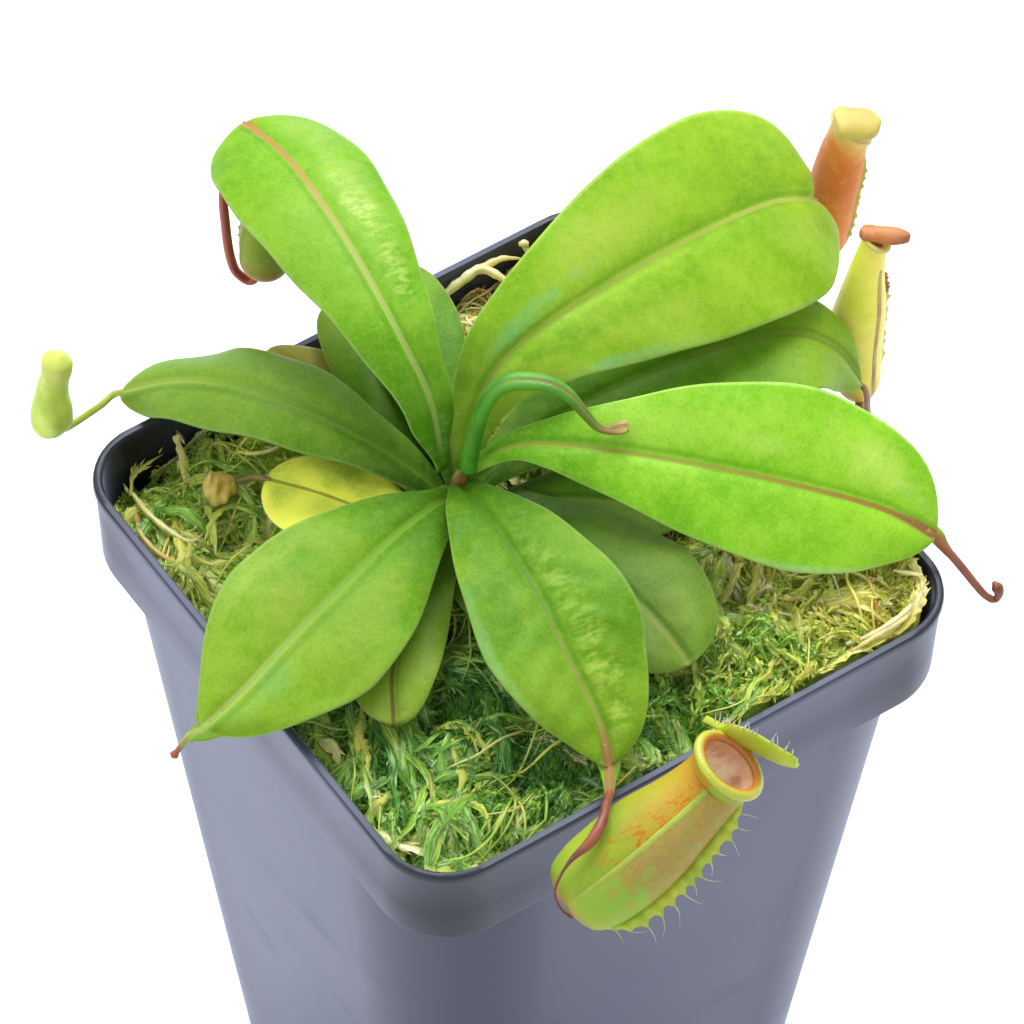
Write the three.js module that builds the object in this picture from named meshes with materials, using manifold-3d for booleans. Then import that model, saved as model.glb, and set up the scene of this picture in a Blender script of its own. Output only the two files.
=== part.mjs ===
// Potted pitcher plant: a rosette of strap leaves with hanging pitchers, in a tapered square pot of moss.
// Millimetres, +Z up. The origin is the centre of the pot's base, and the pot's sides run along X and Y.
// Heights called "over the rim" are measured from the plane of the pot's rim.
import * as THREE from 'three';
import { mergeVertices } from 'three/addons/utils/BufferGeometryUtils.js';
import Module from 'manifold-3d';

const wasm = await Module();
wasm.setup();

// Driving dimensions of the pot: a 3.5 inch square nursery pot, 5 inches deep.
const pot = {
  height: 127,
  rimHalf: 44.5,
  rimCorner: 10,
  collarHeight: 15,
  collarHalf: 44,
  collarCorner: 10.5,
  bodyTopHalf: 43.4,
  bodyTopCorner: 20,
  baseHalf: 31,
  baseCorner: 13,
  wall: 1.4,
  floor: 2,
  drainRadius: 4,
  drainOffset: 17,
};

// The moss fills the pot. Its top is lowest at the pot's left corner (-X, +Y) and heaped at the right one.
const moss = {
  clearance: 0.4,
  middle: -3.5,
  tilt: 5.5,
  crown: 0.6,
  lump: 1,
  sides: 48,
};

// The short stem stands in a plain hole in the moss.
const stem = {
  x: -4,
  y: 8,
  radius: 2.7,
  rootRadius: 3.4,
  top: 8.2,
  rootDepth: 30,
  holeClearance: 0.45,
};

// Pieces that carry each other are this far apart, so that none of them cross.
const gap = 0.35;
const tendrilGap = 0.5;
const up = new THREE.Vector3(0, 0, 1);
const rad = THREE.MathUtils.degToRad;

function overRim(x, y, z) {
  return new THREE.Vector3(x, y, pot.height + z);
}

// Solids

function geometryFrom(points, triangles) {
  const geometry = new THREE.BufferGeometry();
  const flat = points.flatMap((p) => [p.x, p.y, p.z]);
  geometry.setAttribute('position', new THREE.Float32BufferAttribute(flat, 3));
  geometry.setIndex(triangles);
  geometry.computeVertexNormals();
  return geometry;
}

function toSolid(geometry) {
  const bare = geometry.clone();
  bare.deleteAttribute('normal');
  bare.deleteAttribute('uv');
  const merged = mergeVertices(bare, 1e-4);
  return new wasm.Manifold(new wasm.Mesh({
    numProp: 3,
    vertProperties: new Float32Array(merged.attributes.position.array),
    triVerts: new Uint32Array(merged.index.array),
  }));
}

function toGeometry(solid) {
  const mesh = solid.getMesh();
  const geometry = new THREE.BufferGeometry();
  geometry.setAttribute('position', new THREE.Float32BufferAttribute(mesh.vertProperties, 3));
  geometry.setIndex(Array.from(mesh.triVerts));
  geometry.computeVertexNormals();
  return geometry;
}

function fuse(...geometries) {
  return toGeometry(geometries.map(toSolid).reduce((whole, piece) => whole.add(piece)));
}

function cut(geometry, ...tools) {
  return toGeometry(tools.map(toSolid).reduce((whole, tool) => whole.subtract(tool), toSolid(geometry)));
}

// A skin over a row of rings that all have the same number of points, closed by a fan at both ends.
// Rings run anticlockwise, seen from the end that the row leads to.
function loft(rings) {
  const count = rings[0].length;
  const points = rings.flat();
  const triangles = [];
  for (let row = 0; row + 1 < rings.length; row += 1) {
    for (let k = 0; k < count; k += 1) {
      const a = row * count + k;
      const b = row * count + (k + 1) % count;
      triangles.push(a, b, b + count, a, b + count, a + count);
    }
  }
  for (const [row, flip] of [[0, true], [rings.length - 1, false]]) {
    const centre = new THREE.Vector3();
    rings[row].forEach((p) => centre.addScaledVector(p, 1 / count));
    points.push(centre);
    for (let k = 0; k < count; k += 1) {
      const a = row * count + k;
      const b = row * count + (k + 1) % count;
      triangles.push(...(flip ? [b, a, points.length - 1] : [a, b, points.length - 1]));
    }
  }
  return geometryFrom(points, triangles);
}

function spline(points) {
  return new THREE.CatmullRomCurve3(points, false, 'centripetal');
}

function tube(points, radius, steps = 12) {
  const section = new THREE.Shape();
  section.absarc(0, 0, radius, 0, 2 * Math.PI);
  return new THREE.ExtrudeGeometry(section, {
    steps,
    curveSegments: 3,
    bevelEnabled: false,
    extrudePath: spline(points),
  });
}

function mix(a, b, t) {
  return a + (b - a) * t;
}

// A direction square to the tangent, level at first, turned about the tangent by the bank angle.
function crossFrame(tangent, bank, level) {
  const side = level ? level.clone() : new THREE.Vector3().crossVectors(up, tangent);
  side.addScaledVector(tangent, -side.dot(tangent)).normalize();
  side.applyAxisAngle(tangent, rad(bank));
  return { side, normal: new THREE.Vector3().crossVectors(tangent, side) };
}

// Pot

function squareRing(half, corner, z, scale = 1, count = 0) {
  const shape = new THREE.Shape();
  const c = half - corner;
  shape.absarc(c, c, corner, 0, Math.PI / 2);
  shape.absarc(-c, c, corner, Math.PI / 2, Math.PI);
  shape.absarc(-c, -c, corner, Math.PI, 1.5 * Math.PI);
  shape.absarc(c, -c, corner, 1.5 * Math.PI, 2 * Math.PI);
  shape.closePath();
  const outline = count ? shape.getSpacedPoints(count) : shape.getPoints(3);
  outline.pop();
  return outline.map((p) => new THREE.Vector3(p.x * scale, p.y * scale, z));
}

// Half width and corner radius of the pot's outer body at a height under the collar.
function potBody(z) {
  const t = z / (pot.height - pot.collarHeight);
  return [mix(pot.baseHalf, pot.bodyTopHalf, t), mix(pot.baseCorner, pot.bodyTopCorner, t)];
}

function makePot() {
  const { height, rimHalf, rimCorner, collarHalf, collarCorner, wall, floor } = pot;
  const ledge = height - pot.collarHeight;
  const lip = 0.7;
  const [baseHalf, baseCorner] = potBody(0);
  const [floorHalf, floorCorner] = potBody(floor);
  const rings = [
    squareRing(baseHalf - lip, baseCorner - lip, 0),
    squareRing(baseHalf, baseCorner, lip),
    squareRing(pot.bodyTopHalf, pot.bodyTopCorner, ledge),
    squareRing(collarHalf - lip / 2, collarCorner, ledge),
    squareRing(collarHalf, collarCorner, ledge + lip),
    squareRing(rimHalf - lip / 2, rimCorner, height - 2 * lip),
    squareRing(rimHalf, rimCorner, height - lip),
    squareRing(rimHalf - lip / 2, rimCorner, height),
    squareRing(rimHalf - wall, rimCorner - wall, height - lip / 2),
    squareRing(collarHalf - wall, collarCorner - wall, ledge + 2 * lip),
    squareRing(pot.bodyTopHalf - wall, pot.bodyTopCorner - wall, ledge - lip),
    squareRing(floorHalf - wall, floorCorner - wall, floor),
  ];
  const drains = [];
  for (const sx of [-1, 1]) {
    for (const sy of [-1, 1]) {
      const drain = new THREE.CylinderGeometry(pot.drainRadius, pot.drainRadius, 3 * floor, 12);
      drain.rotateX(Math.PI / 2);
      drain.translate(sx * pot.drainOffset, sy * pot.drainOffset, floor / 2);
      drains.push(drain);
    }
  }
  return cut(loft(rings), ...drains);
}

// Moss

// Height of the moss over the rim: a slope from the left corner to the right one, a slight mound and lumps.
function mossHeight(x, y) {
  const slope = (x - y) / (2 * pot.rimHalf);
  const reach = Math.min(1, Math.hypot(x, y) / pot.rimHalf);
  const lumps = Math.sin(0.41 * x + 1.3) * Math.cos(0.37 * y - 0.4)
    + 0.7 * Math.sin(0.23 * (x + 2.1 * y)) + 0.5 * Math.sin(0.73 * x - 0.61 * y);
  return moss.middle + moss.tilt * slope + moss.crown * (1 - reach * reach) + moss.lump * lumps;
}

function makeMoss() {
  const inset = pot.wall + moss.clearance;
  const ledge = pot.height - pot.collarHeight;
  const start = pot.floor + moss.clearance;
  const [floorHalf, floorCorner] = potBody(start);
  const shoulder = ledge - 0.4;
  const [shoulderHalf, shoulderCorner] = potBody(shoulder);
  const inside = [pot.collarHalf - inset - 0.2, pot.collarCorner - inset];
  const rings = [
    squareRing(floorHalf - inset, floorCorner - inset, start, 1, moss.sides),
    squareRing(shoulderHalf - inset, shoulderCorner - inset, shoulder, 1, moss.sides),
    squareRing(inside[0], inside[1], ledge + 2.4, 1, moss.sides),
  ];
  for (const scale of [1, 0.97, 0.88, 0.78, 0.68, 0.57, 0.46, 0.34, 0.22, 0.12]) {
    const ring = squareRing(inside[0], inside[1], 0, scale, moss.sides);
    const edgeDrop = scale === 1 ? 2 : 0;
    ring.forEach((p) => p.setZ(pot.height + mossHeight(p.x, p.y) - edgeDrop));
    rings.push(ring);
  }
  const hole = new THREE.CylinderGeometry(
    stem.rootRadius + stem.holeClearance,
    stem.rootRadius + stem.holeClearance,
    2 * stem.rootDepth,
    16,
  );
  hole.rotateX(Math.PI / 2);
  hole.translate(stem.x, stem.y, pot.height);
  return cut(loft(rings), hole);
}

// Stem

function makeStem() {
  const { radius, rootRadius, top, rootDepth, holeClearance } = stem;
  const profile = [
    [0, -rootDepth + holeClearance],
    [rootRadius - 1, -rootDepth + holeClearance],
    [rootRadius, -rootDepth + 3],
    [rootRadius, -4],
    [radius, -1],
    [radius - 0.3, 2],
    [radius, 4.5],
    [radius - 0.4, 6.5],
    [1.2, top],
    [0, top],
  ].map(([r, z]) => new THREE.Vector2(r, z));
  const geometry = new THREE.LatheGeometry(profile, 14);
  geometry.rotateX(Math.PI / 2);
  geometry.translate(stem.x, stem.y, pot.height);
  return geometry;
}

// Leaves

// Half width of a leaf at s, from 0 at the stem to 1 at the tip.
function leafHalf(leaf, s, side) {
  const lean = 1 + side * (leaf.lean ?? 0);
  if (s < leaf.widest) {
    const grown = Math.sin((Math.PI / 2) * (s / leaf.widest)) ** leaf.swell;
    return leaf.half * mix(leaf.neck, lean, grown);
  }
  const t = Math.min(1, (s - leaf.widest) / (1 - leaf.widest));
  return leaf.half * lean * (1 - t ** leaf.blunt) ** (1 / leaf.blunt);
}

function leafCurve(leaf) {
  const [angle, z] = leaf.from;
  const reach = (z < 1 ? stem.rootRadius : stem.radius) + gap + leafThickness / 2;
  const start = overRim(stem.x + reach * Math.cos(rad(angle)), stem.y + reach * Math.sin(rad(angle)), z);
  return spline([start, ...leaf.through.map((p) => overRim(...p))]);
}

const leafThickness = 0.8;
const edgeThinning = 0.85;
const wave = { height: 0.35, perMillimetre: 0.42 };
const midrib = { groove: 0.3, keel: 0.45 };
const leafAcross = [-1, -0.72, -0.38, 0, 0.38, 0.72, 1];
const smallAcross = [-1, -0.5, 0, 0.5, 1];
const smallHalf = 7;
const leafAlong = [0, 0.06, 0.14, 0.24, 0.36, 0.49, 0.62, 0.74, 0.84, 0.92, 0.97, 1];

// A blade in the shape of its outline: level across or cupped, waved at the edge, with a sunken midrib.
// Both faces are split into the same triangles, so they never cross.
function makeBlade(leaf) {
  const curve = leafCurve(leaf);
  const length = curve.getLength();
  const tipHalf = leaf.lobes ? 5 : 0.5;
  const stations = leaf.half < smallHalf ? smallAcross : leafAcross;
  const rows = leafAlong.map((s) => {
    const centre = curve.getPointAt(s);
    const tangent = curve.getTangentAt(s);
    const bank = (leaf.bank ?? 0) * THREE.MathUtils.smoothstep(s, 0, 0.3);
    const { side, normal } = crossFrame(tangent, bank);
    const faces = { top: [], bottom: [] };
    for (const v of stations) {
      const half = Math.max(leafHalf(leaf, s, Math.sign(v)), tipHalf * Math.min(1, 4 * s));
      const ripple = wave.height * v * v * Math.sin(length * s * wave.perMillimetre + 2 * v);
      const cup = (leaf.cup ?? 0) * half * Math.abs(v) ** 1.7 + ripple * Math.min(1, 3 * s);
      const lobe = leaf.lobes ? leaf.lobes[v < 0 ? 0 : 1] * Math.abs(v) * s ** 6 : 0;
      const middle = v === 0 ? 1 : 0;
      const groove = midrib.groove * middle * (1 - s);
      const keel = midrib.keel * middle * (1 - 0.7 * s);
      const p = centre.clone().addScaledVector(side, half * v).addScaledVector(tangent, lobe);
      const thin = Math.abs(v) === 1 ? edgeThinning : 1;
      faces.top.push(p.clone().addScaledVector(normal, cup + thin * leafThickness / 2 - groove));
      faces.bottom.push(p.clone().addScaledVector(normal, cup - thin * leafThickness / 2 - keel));
    }
    return faces;
  });
  const across = stations.length;
  const points = rows.flatMap((row) => [...row.top, ...row.bottom]);
  const triangles = [];
  const at = (row, face, k) => row * 2 * across + face * across + k;
  const quad = (a, b, c, d) => triangles.push(a, b, c, a, c, d);
  const edge = across - 1;
  const last = rows.length - 1;
  for (let row = 0; row < last; row += 1) {
    for (let k = 0; k < edge; k += 1) {
      quad(at(row, 0, k), at(row + 1, 0, k), at(row + 1, 0, k + 1), at(row, 0, k + 1));
      quad(at(row, 1, k), at(row, 1, k + 1), at(row + 1, 1, k + 1), at(row + 1, 1, k));
    }
    quad(at(row, 0, 0), at(row, 1, 0), at(row + 1, 1, 0), at(row + 1, 0, 0));
    quad(at(row, 1, edge), at(row, 0, edge), at(row + 1, 0, edge), at(row + 1, 1, edge));
  }
  for (let k = 0; k < edge; k += 1) {
    quad(at(0, 0, k), at(0, 0, k + 1), at(0, 1, k + 1), at(0, 1, k));
    quad(at(last, 0, k), at(last, 1, k), at(last, 1, k + 1), at(last, 0, k + 1));
  }
  return geometryFrom(points, triangles);
}

const leafGreen = { roughness: 0.42, metalness: 0 };
const brightGreen = { color: 0x7cc72a, ...leafGreen };
const deepGreen = { color: 0x4f8f2a, ...leafGreen };

// from: compass angle of the leaf's foot on the stem, anticlockwise from +X, and its height over the rim.
// through: the midrib's points, x, y and height over the rim. half: greatest half width.
// neck: half width at the foot as a share of half. widest: where half is reached. swell and blunt: fullness
// of the outline before and after that. bank: turn about the midrib that lifts the left side, in degrees.
// lobes: how far the right and left halves reach past the midrib's end.
const leaves = {
  leaf_back_left: {
    from: [115, 8.4],
    through: [[-5.6, 13, 19.5], [-6, 19, 25.6], [-5, 30, 29], [-3.4, 43, 29.2], [-2, 54, 27], [-1.5, 65, 23]],
    half: 10.3, neck: 0.3, swell: 2, widest: 0.76, blunt: 2.8, cup: -0.21, material: brightGreen,
  },
  leaf_back_right: {
    from: [22, 6.8],
    through: [[1.5, 11.6, 14.5], [5.5, 12.3, 19.5], [12.5, 12.6, 22.4], [27, 14, 22.6], [42, 16, 20.3],
      [54.5, 18, 16], [62, 18.8, 11]],
    half: 15.4, neck: 0.13, swell: 1.45, widest: 0.78, blunt: 2.5, bank: 28, lobes: [3.5, 1.6],
    material: brightGreen,
  },
  leaf_right: {
    from: [-22, 8.2],
    through: [[3, 5, 11.4], [7, 1.5, 12.6], [11.7, -3.3, 13.3], [21.5, -12.7, 12.9], [31.3, -21.8, 11.1],
      [40.2, -29.2, 7.5], [45.1, -34.4, 4]],
    half: 12.8, lean: 0.08, neck: 0.12, swell: 1.75, widest: 0.7, blunt: 1.75, bank: 24, material: brightGreen,
  },
  leaf_front: {
    from: [-100, 6.2],
    through: [[-5.8, 1, 9.2], [-7.3, -7.8, 11], [-8.8, -18, 11.5], [-10.6, -28, 9.6], [-11.4, -36.4, 5.7],
      [-13.1, -41.4, 3]],
    half: 11.2, lean: 0.06, neck: 0.22, swell: 1.2, widest: 0.66, blunt: 1.7, cup: 0.06, material: brightGreen,
  },
  leaf_front_left: {
    from: [-152, 4.4],
    through: [[-10.7, 5.2, 7], [-19.7, 2.3, 8.8], [-29.8, -1.2, 9], [-39.7, -4, 7.7], [-48.7, -6.2, 5.4],
      [-54.6, -6.8, 3.4]],
    half: 12.6, neck: 0.18, swell: 1.4, widest: 0.62, blunt: 1.75, bank: -10, material: brightGreen,
  },
  leaf_left: {
    from: [150, 2],
    through: [[-9, 14.2, 7], [-14.2, 20.4, 11.6], [-20.2, 29.5, 12.8], [-25, 38.7, 9.6], [-28.6, 46, 4],
      [-31.8, 50.2, 0]],
    half: 7.4, lean: -0.1, neck: 0.24, swell: 1.2, widest: 0.6, blunt: 2, bank: -5, cup: -0.26,
    material: deepGreen,
  },
  leaf_right_low: {
    from: [-4, 3],
    through: [[7.4, 9, 5], [18.6, 8.6, 7.2], [31.2, 7, 8], [41.6, 5, 7.8], [49.3, 2.6, 6], [53.6, 0.4, 2],
      [56.2, -2.1, -4]],
    half: 12, lean: -0.05, neck: 0.17, swell: 1.4, widest: 0.58, blunt: 1.6, material: deepGreen,
  },
  leaf_front_low: {
    from: [-66, 0.6],
    through: [[0.2, 3.4, 2.4], [1.8, -3, 4], [2.9, -12, 5.4], [3.8, -21, 6], [4.6, -28.6, 5.2], [4.8, -34, 4]],
    half: 10.8, neck: 0.17, swell: 1.4, widest: 0.7, blunt: 2, material: deepGreen,
  },
  leaf_middle_low: {
    from: [-36, -1.4],
    through: [[3, 3.2, 0.8], [8, -0.8, 2.2], [14, -6.2, 2.6], [19.6, -11.4, 2]],
    half: 6.6, neck: 0.24, swell: 1.3, widest: 0.62, blunt: 2, material: deepGreen,
  },
  leaf_under_left: {
    from: [-138, 0],
    through: [[-10, 3.4, 2], [-16, -0.8, 2.6], [-22, -6, 2.5], [-28, -12, 2], [-32, -18.3, 0.4]],
    half: 6.2, neck: 0.3, swell: 1, widest: 0.7, blunt: 2, material: brightGreen,
  },
  leaf_yellow: {
    from: [178, -1],
    through: [[-11.2, 10, 0], [-15, 14.2, 0.3], [-18.8, 20.2, 0.2], [-23, 27, -1]],
    half: 7.6, lean: 0.06, neck: 0.2, swell: 1.2, widest: 0.6, blunt: 2, material: { color: 0xc9c840, ...leafGreen },
  },
  leaf_small: {
    from: [-96, -1.6],
    through: [[-6.6, 0, -0.5], [-8.8, -5, -0.2], [-11, -10, -0.8]],
    half: 4.4, neck: 0.34, swell: 1, widest: 0.6, blunt: 2, material: { color: 0x9cc03c, ...leafGreen },
  },
  leaf_back_narrow: {
    from: [60, 3],
    through: [[-0.2, 17, 7.4], [2.8, 26, 9.4], [6.6, 35, 9], [10.4, 42.6, 6.6]],
    half: 5.6, neck: 0.34, swell: 1.2, widest: 0.62, blunt: 2, material: deepGreen,
  },
  leaf_back_dark: {
    from: [92, 1.6],
    through: [[-3.6, 19, 4.4], [-3, 28, 6.2], [-1, 38, 5.6], [1, 46, 3.2]],
    half: 6.1, neck: 0.2, swell: 1.2, widest: 0.62, blunt: 2, material: deepGreen,
  },
  leaf_back_old: {
    from: [122, -0.8],
    through: [[-7.2, 18, 2.5], [-8.4, 26, 3.8], [-10.4, 35, 4.2], [-12.2, 43, 3.4]],
    half: 5.8, lean: 0.04, neck: 0.26, swell: 1.2, widest: 0.66, blunt: 2, material: { color: 0xa9a83e, ...leafGreen },
  },
};

// Two leaves end in a tendril that carries no pitcher. It starts inside the blade's tip.
const tendrils = {
  leaf_right: {
    through: [[46.2, -36.3, 1.5], [47.4, -38, -1], [48.5, -39.7, -3.5], [49.4, -41, -5.2], [50.2, -42, -5.6],
      [50.8, -42, -4.4], [50.6, -41, -3]],
    radius: 0.65,
  },
  leaf_front_left: {
    through: [[-56.6, -5.8, 1.6], [-57.9, -5.7, 0], [-58.9, -5.7, -1]],
    radius: 0.6,
  },
};

// The point on a leaf's midrib at a distance past its tip, or before it where the distance is negative.
function pastTip(name, distance) {
  const curve = leafCurve(leaves[name]);
  return curve.getPointAt(1).addScaledVector(curve.getTangentAt(1), distance);
}

function makeLeaf(name) {
  const blade = makeBlade(leaves[name]);
  const tendril = tendrils[name];
  if (!tendril) {
    return blade;
  }
  const points = [pastTip(name, -1.6), ...tendril.through.map((p) => overRim(...p))];
  return fuse(blade, tube(points, tendril.radius));
}

// The newest leaf is still rolled up: it arches from the crown and ends in a small flared bud.
const newLeaf = {
  through: [[-3.4, 6.8, 9], [-1.8, 7.4, 15], [0.4, 7.4, 21], [2.4, 6.4, 23.8], [6.4, 3, 24.6], [8.4, 0.9, 23.2],
    [10.2, -0.9, 19.6], [11.5, -1.9, 17], [12.7, -2.8, 16.2], [15, -4.2, 17]],
  // Share of the length, half width across and half thickness.
  section: [[0, 1.5, 1.3], [0.25, 1.5, 1.1], [0.5, 1.45, 0.9], [0.7, 1.2, 0.7], [0.86, 0.7, 0.6], [0.92, 0.6, 0.5],
    [0.97, 1, 0.6], [1, 0.8, 0.5]],
  sides: 8,
};

function makeNewLeaf() {
  const curve = spline(newLeaf.through.map((p) => overRim(...p)));
  const level = new THREE.Vector3(0.57, 0.82, 0);
  const steps = 16;
  const rings = [];
  for (let i = 0; i <= steps; i += 1) {
    const s = i / steps;
    const k = Math.max(1, newLeaf.section.findIndex((row) => row[0] >= s));
    const [s0, a0, b0] = newLeaf.section[k - 1];
    const [s1, a1, b1] = newLeaf.section[k];
    const t = (s - s0) / (s1 - s0);
    const { side, normal } = crossFrame(curve.getTangentAt(s), 0, level);
    const centre = curve.getPointAt(s);
    const ring = [];
    for (let j = 0; j < newLeaf.sides; j += 1) {
      const angle = (2 * Math.PI * j) / newLeaf.sides;
      ring.push(centre.clone()
        .addScaledVector(side, mix(a0, a1, t) * Math.cos(angle))
        .addScaledVector(normal, mix(b0, b1, t) * Math.sin(angle)));
    }
    rings.push(ring);
  }
  return loft(rings);
}

// Pitchers

// A pitcher is a hollow cup on a curved axis, with a rolled lip, two fringed wings down its front and a lid
// on a narrow hinge at its back. It hangs from its leaf's tip by the tendril, which enters at its foot.
const pitcherWall = 0.65;
const wingHalfThickness = 0.3;
const wingRoot = 0.4;
const pitchers = {
  pitcher_front: {
    leaf: 'leaf_front',
    axis: [[-27.8, -52.2, -3.2], [-20.8, -52.8, -0.6], [-14.2, -52.8, 1.1], [-7.7, -52.5, 3.3], [-3.8, -52.4, 5.4],
      [-2, -52.8, 8]],
    outline: [[0, 1.6], [0.05, 4.6], [0.14, 6.4], [0.3, 7.1], [0.5, 6.6], [0.68, 5.4], [0.85, 4.8], [1, 4.8]],
    lip: 0.9,
    slant: 0.1,
    front: [-0.12, -0.98, 0.13],
    lid: {
      reach: 12, half: 3, along: [0.36, -0.92, 0.08], across: [-0.54, -0.13, 0.83], offset: [0.6, 1.9, -0.7],
    },
    wing: { from: 0.1, to: 0.86, height: 0.8, tooth: 0.9, turns: [-50, 38], teeth: 12 },
    tendril: [[-16.2, -45.9, 4.2], [-18.4, -48.3, 6.5], [-20.8, -50.8, 7.4], [-23.8, -52.4, 6.9],
      [-26.8, -52.8, 6.5], [-29, -52.8, 4.6], [-29.6, -52.6, 1.2], [-28.6, -52.2, -2]],
    tendrilRadius: 0.65,
    material: { color: 0xa8bf3a, roughness: 0.45, metalness: 0 },
  },
  pitcher_back_left: {
    leaf: 'leaf_back_left',
    axis: [[-0.2, 63.6, -9], [0.4, 63.7, -5], [0.9, 63.7, -1], [2, 63.8, 6], [3, 64.4, 12]],
    outline: [[0, 1.3], [0.07, 2.9], [0.24, 3.8], [0.5, 3.9], [0.75, 3.6], [1, 3.8]],
    lip: 0.5,
    slant: 0.6,
    front: [0, 1, 0],
    lid: { reach: 7, half: 2.8, along: [0, 1, 0.2], across: [-1, 0, 0] },
    wing: { from: 0.15, to: 0.8, height: 0.5, tooth: 0.5, turns: [-30, 30], teeth: 7 },
    tendril: [[-2, 66.6, 18], [-3.9, 67.6, 10], [-4, 67, 1], [-3.6, 66.5, -6], [-2.9, 66, -9], [-1.6, 64.8, -10.4],
      [-0.4, 63.8, -8.4]],
    tendrilRadius: 0.6,
    material: { color: 0x8a9a3c, roughness: 0.5, metalness: 0 },
  },
  pitcher_back_right: {
    leaf: 'leaf_back_right',
    axis: [[67.5, 23.2, -8.6], [68, 23.1, -2.6], [68.7, 22.8, 5], [69.4, 22.3, 11], [70.1, 21.9, 15.7]],
    outline: [[0, 1.3], [0.07, 2.7], [0.24, 3.5], [0.5, 3.7], [0.75, 3.6], [0.9, 2.9], [1, 2.5]],
    lip: 0.4,
    slant: 0.9,
    front: [0.986, -0.168, 0],
    lid: { reach: 7.2, half: 2.9, along: [0.86, -0.5, -0.1], across: [0.5, 0.86, 0], offset: [0, 0, 0.3] },
    wing: { from: 0.15, to: 0.8, height: 0.5, tooth: 0.5, turns: [-30, 30], teeth: 7 },
    tendril: [[64, 19.6, 4], [63, 20.4, -1], [63.4, 21.6, -7], [65, 22.6, -10.4], [66.5, 22.9, -9.6],
      [67, 22.9, -7]],
    tendrilRadius: 0.6,
    material: { color: 0xc26a34, roughness: 0.5, metalness: 0 },
  },
  pitcher_right: {
    leaf: 'leaf_right_low',
    axis: [[62.7, 5.8, -17.3], [61.9, 6.4, -11.7], [61.6, 6.6, -5.8], [62.1, 6.2, 1.9], [62.5, 5.9, 8.4],
      [63, 5.6, 13.6]],
    outline: [[0, 1.3], [0.06, 2.7], [0.2, 3.7], [0.4, 4], [0.6, 3.5], [0.82, 2.4], [1, 1.9]],
    lip: 0.3,
    slant: 0.5,
    front: [0.82, -0.57, 0],
    lid: { reach: 7.5, half: 2, along: [0.82, -0.57, -0.05], across: [0.57, 0.82, 0], offset: [-0.3, 0.2, 0.3] },
    wing: { from: 0.1, to: 0.8, height: 0.9, tooth: 0.6, turns: [-20, 28], teeth: 8 },
    tendril: [[57.6, -2.2, -9.6], [58.6, -1, -14.6], [60, 1.6, -18.4], [61.6, 4.2, -20], [62.6, 5.4, -18.8],
      [62.7, 5.8, -16.5]],
    tendrilRadius: 0.6,
    material: { color: 0xb9c152, roughness: 0.5, metalness: 0 },
  },
};

function outlineAt(outline, s) {
  const k = Math.max(1, outline.findIndex((row) => row[0] >= s));
  const [s0, r0] = outline[k - 1];
  const [s1, r1] = outline[k];
  const t = (s - s0) / (s1 - s0);
  return mix(r0, r1, t * t * (3 - 2 * t));
}

// A ring round the axis. Towards the mouth its front drops and its back rises by the slant.
function pitcherRing(curve, s, radius, front, slant = 0, shift = 0, sides = 12) {
  const tangent = curve.getTangentAt(s);
  const { side, normal } = crossFrame(tangent, 0, front);
  const tilt = slant * THREE.MathUtils.smoothstep(s, 0.55, 1);
  const ring = [];
  for (let j = 0; j < sides; j += 1) {
    const angle = (2 * Math.PI * j) / sides;
    ring.push(curve.getPointAt(s)
      .addScaledVector(tangent, shift - tilt * radius * Math.cos(angle))
      .addScaledVector(side, radius * Math.cos(angle))
      .addScaledVector(normal, radius * Math.sin(angle)));
  }
  return ring;
}

function pitcherCup(shape, curve, front) {
  const outside = [0, 0.04, 0.1, 0.2, 0.34, 0.5, 0.66, 0.82, 0.94];
  const inside = [0.9, 0.66, 0.42, 0.22, 0.1];
  const end = shape.outline[shape.outline.length - 1][1];
  const ring = (s, radius, shift) => pitcherRing(curve, s, radius, front, shape.slant, shift);
  return loft([
    ...outside.map((s) => ring(s, outlineAt(shape.outline, s))),
    ring(1, end + shape.lip, -0.2),
    ring(1, end + shape.lip / 3, 0.45),
    ring(1, end - pitcherWall, 0),
    ...inside.map((s) => ring(s, outlineAt(shape.outline, s) - pitcherWall)),
  ]);
}

// A wing is a thin fin that follows the cup's skin at one angle from its front and has a toothed edge.
function pitcherWing(shape, curve, front, turn) {
  const { from, to, height, tooth, teeth } = shape.wing;
  const steps = 2 * teeth;
  const rings = [];
  for (let i = 0; i <= steps; i += 1) {
    const s = mix(from, to, i / steps);
    const { side } = crossFrame(curve.getTangentAt(s), turn, front);
    const { side: across } = crossFrame(curve.getTangentAt(s), turn + 90, front);
    const foot = outlineAt(shape.outline, s) - wingRoot;
    const fade = Math.min(1, 4 * (i / steps), 4 * (1 - i / steps));
    const tip = foot + wingRoot + fade * (height + (i % 2) * tooth);
    const centre = curve.getPointAt(s);
    const corner = (r, h) => centre.clone().addScaledVector(side, r).addScaledVector(across, h);
    const w = wingHalfThickness;
    rings.push([corner(foot, -w), corner(tip, -w), corner(tip, w), corner(foot, w)]);
  }
  return loft(rings);
}

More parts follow.
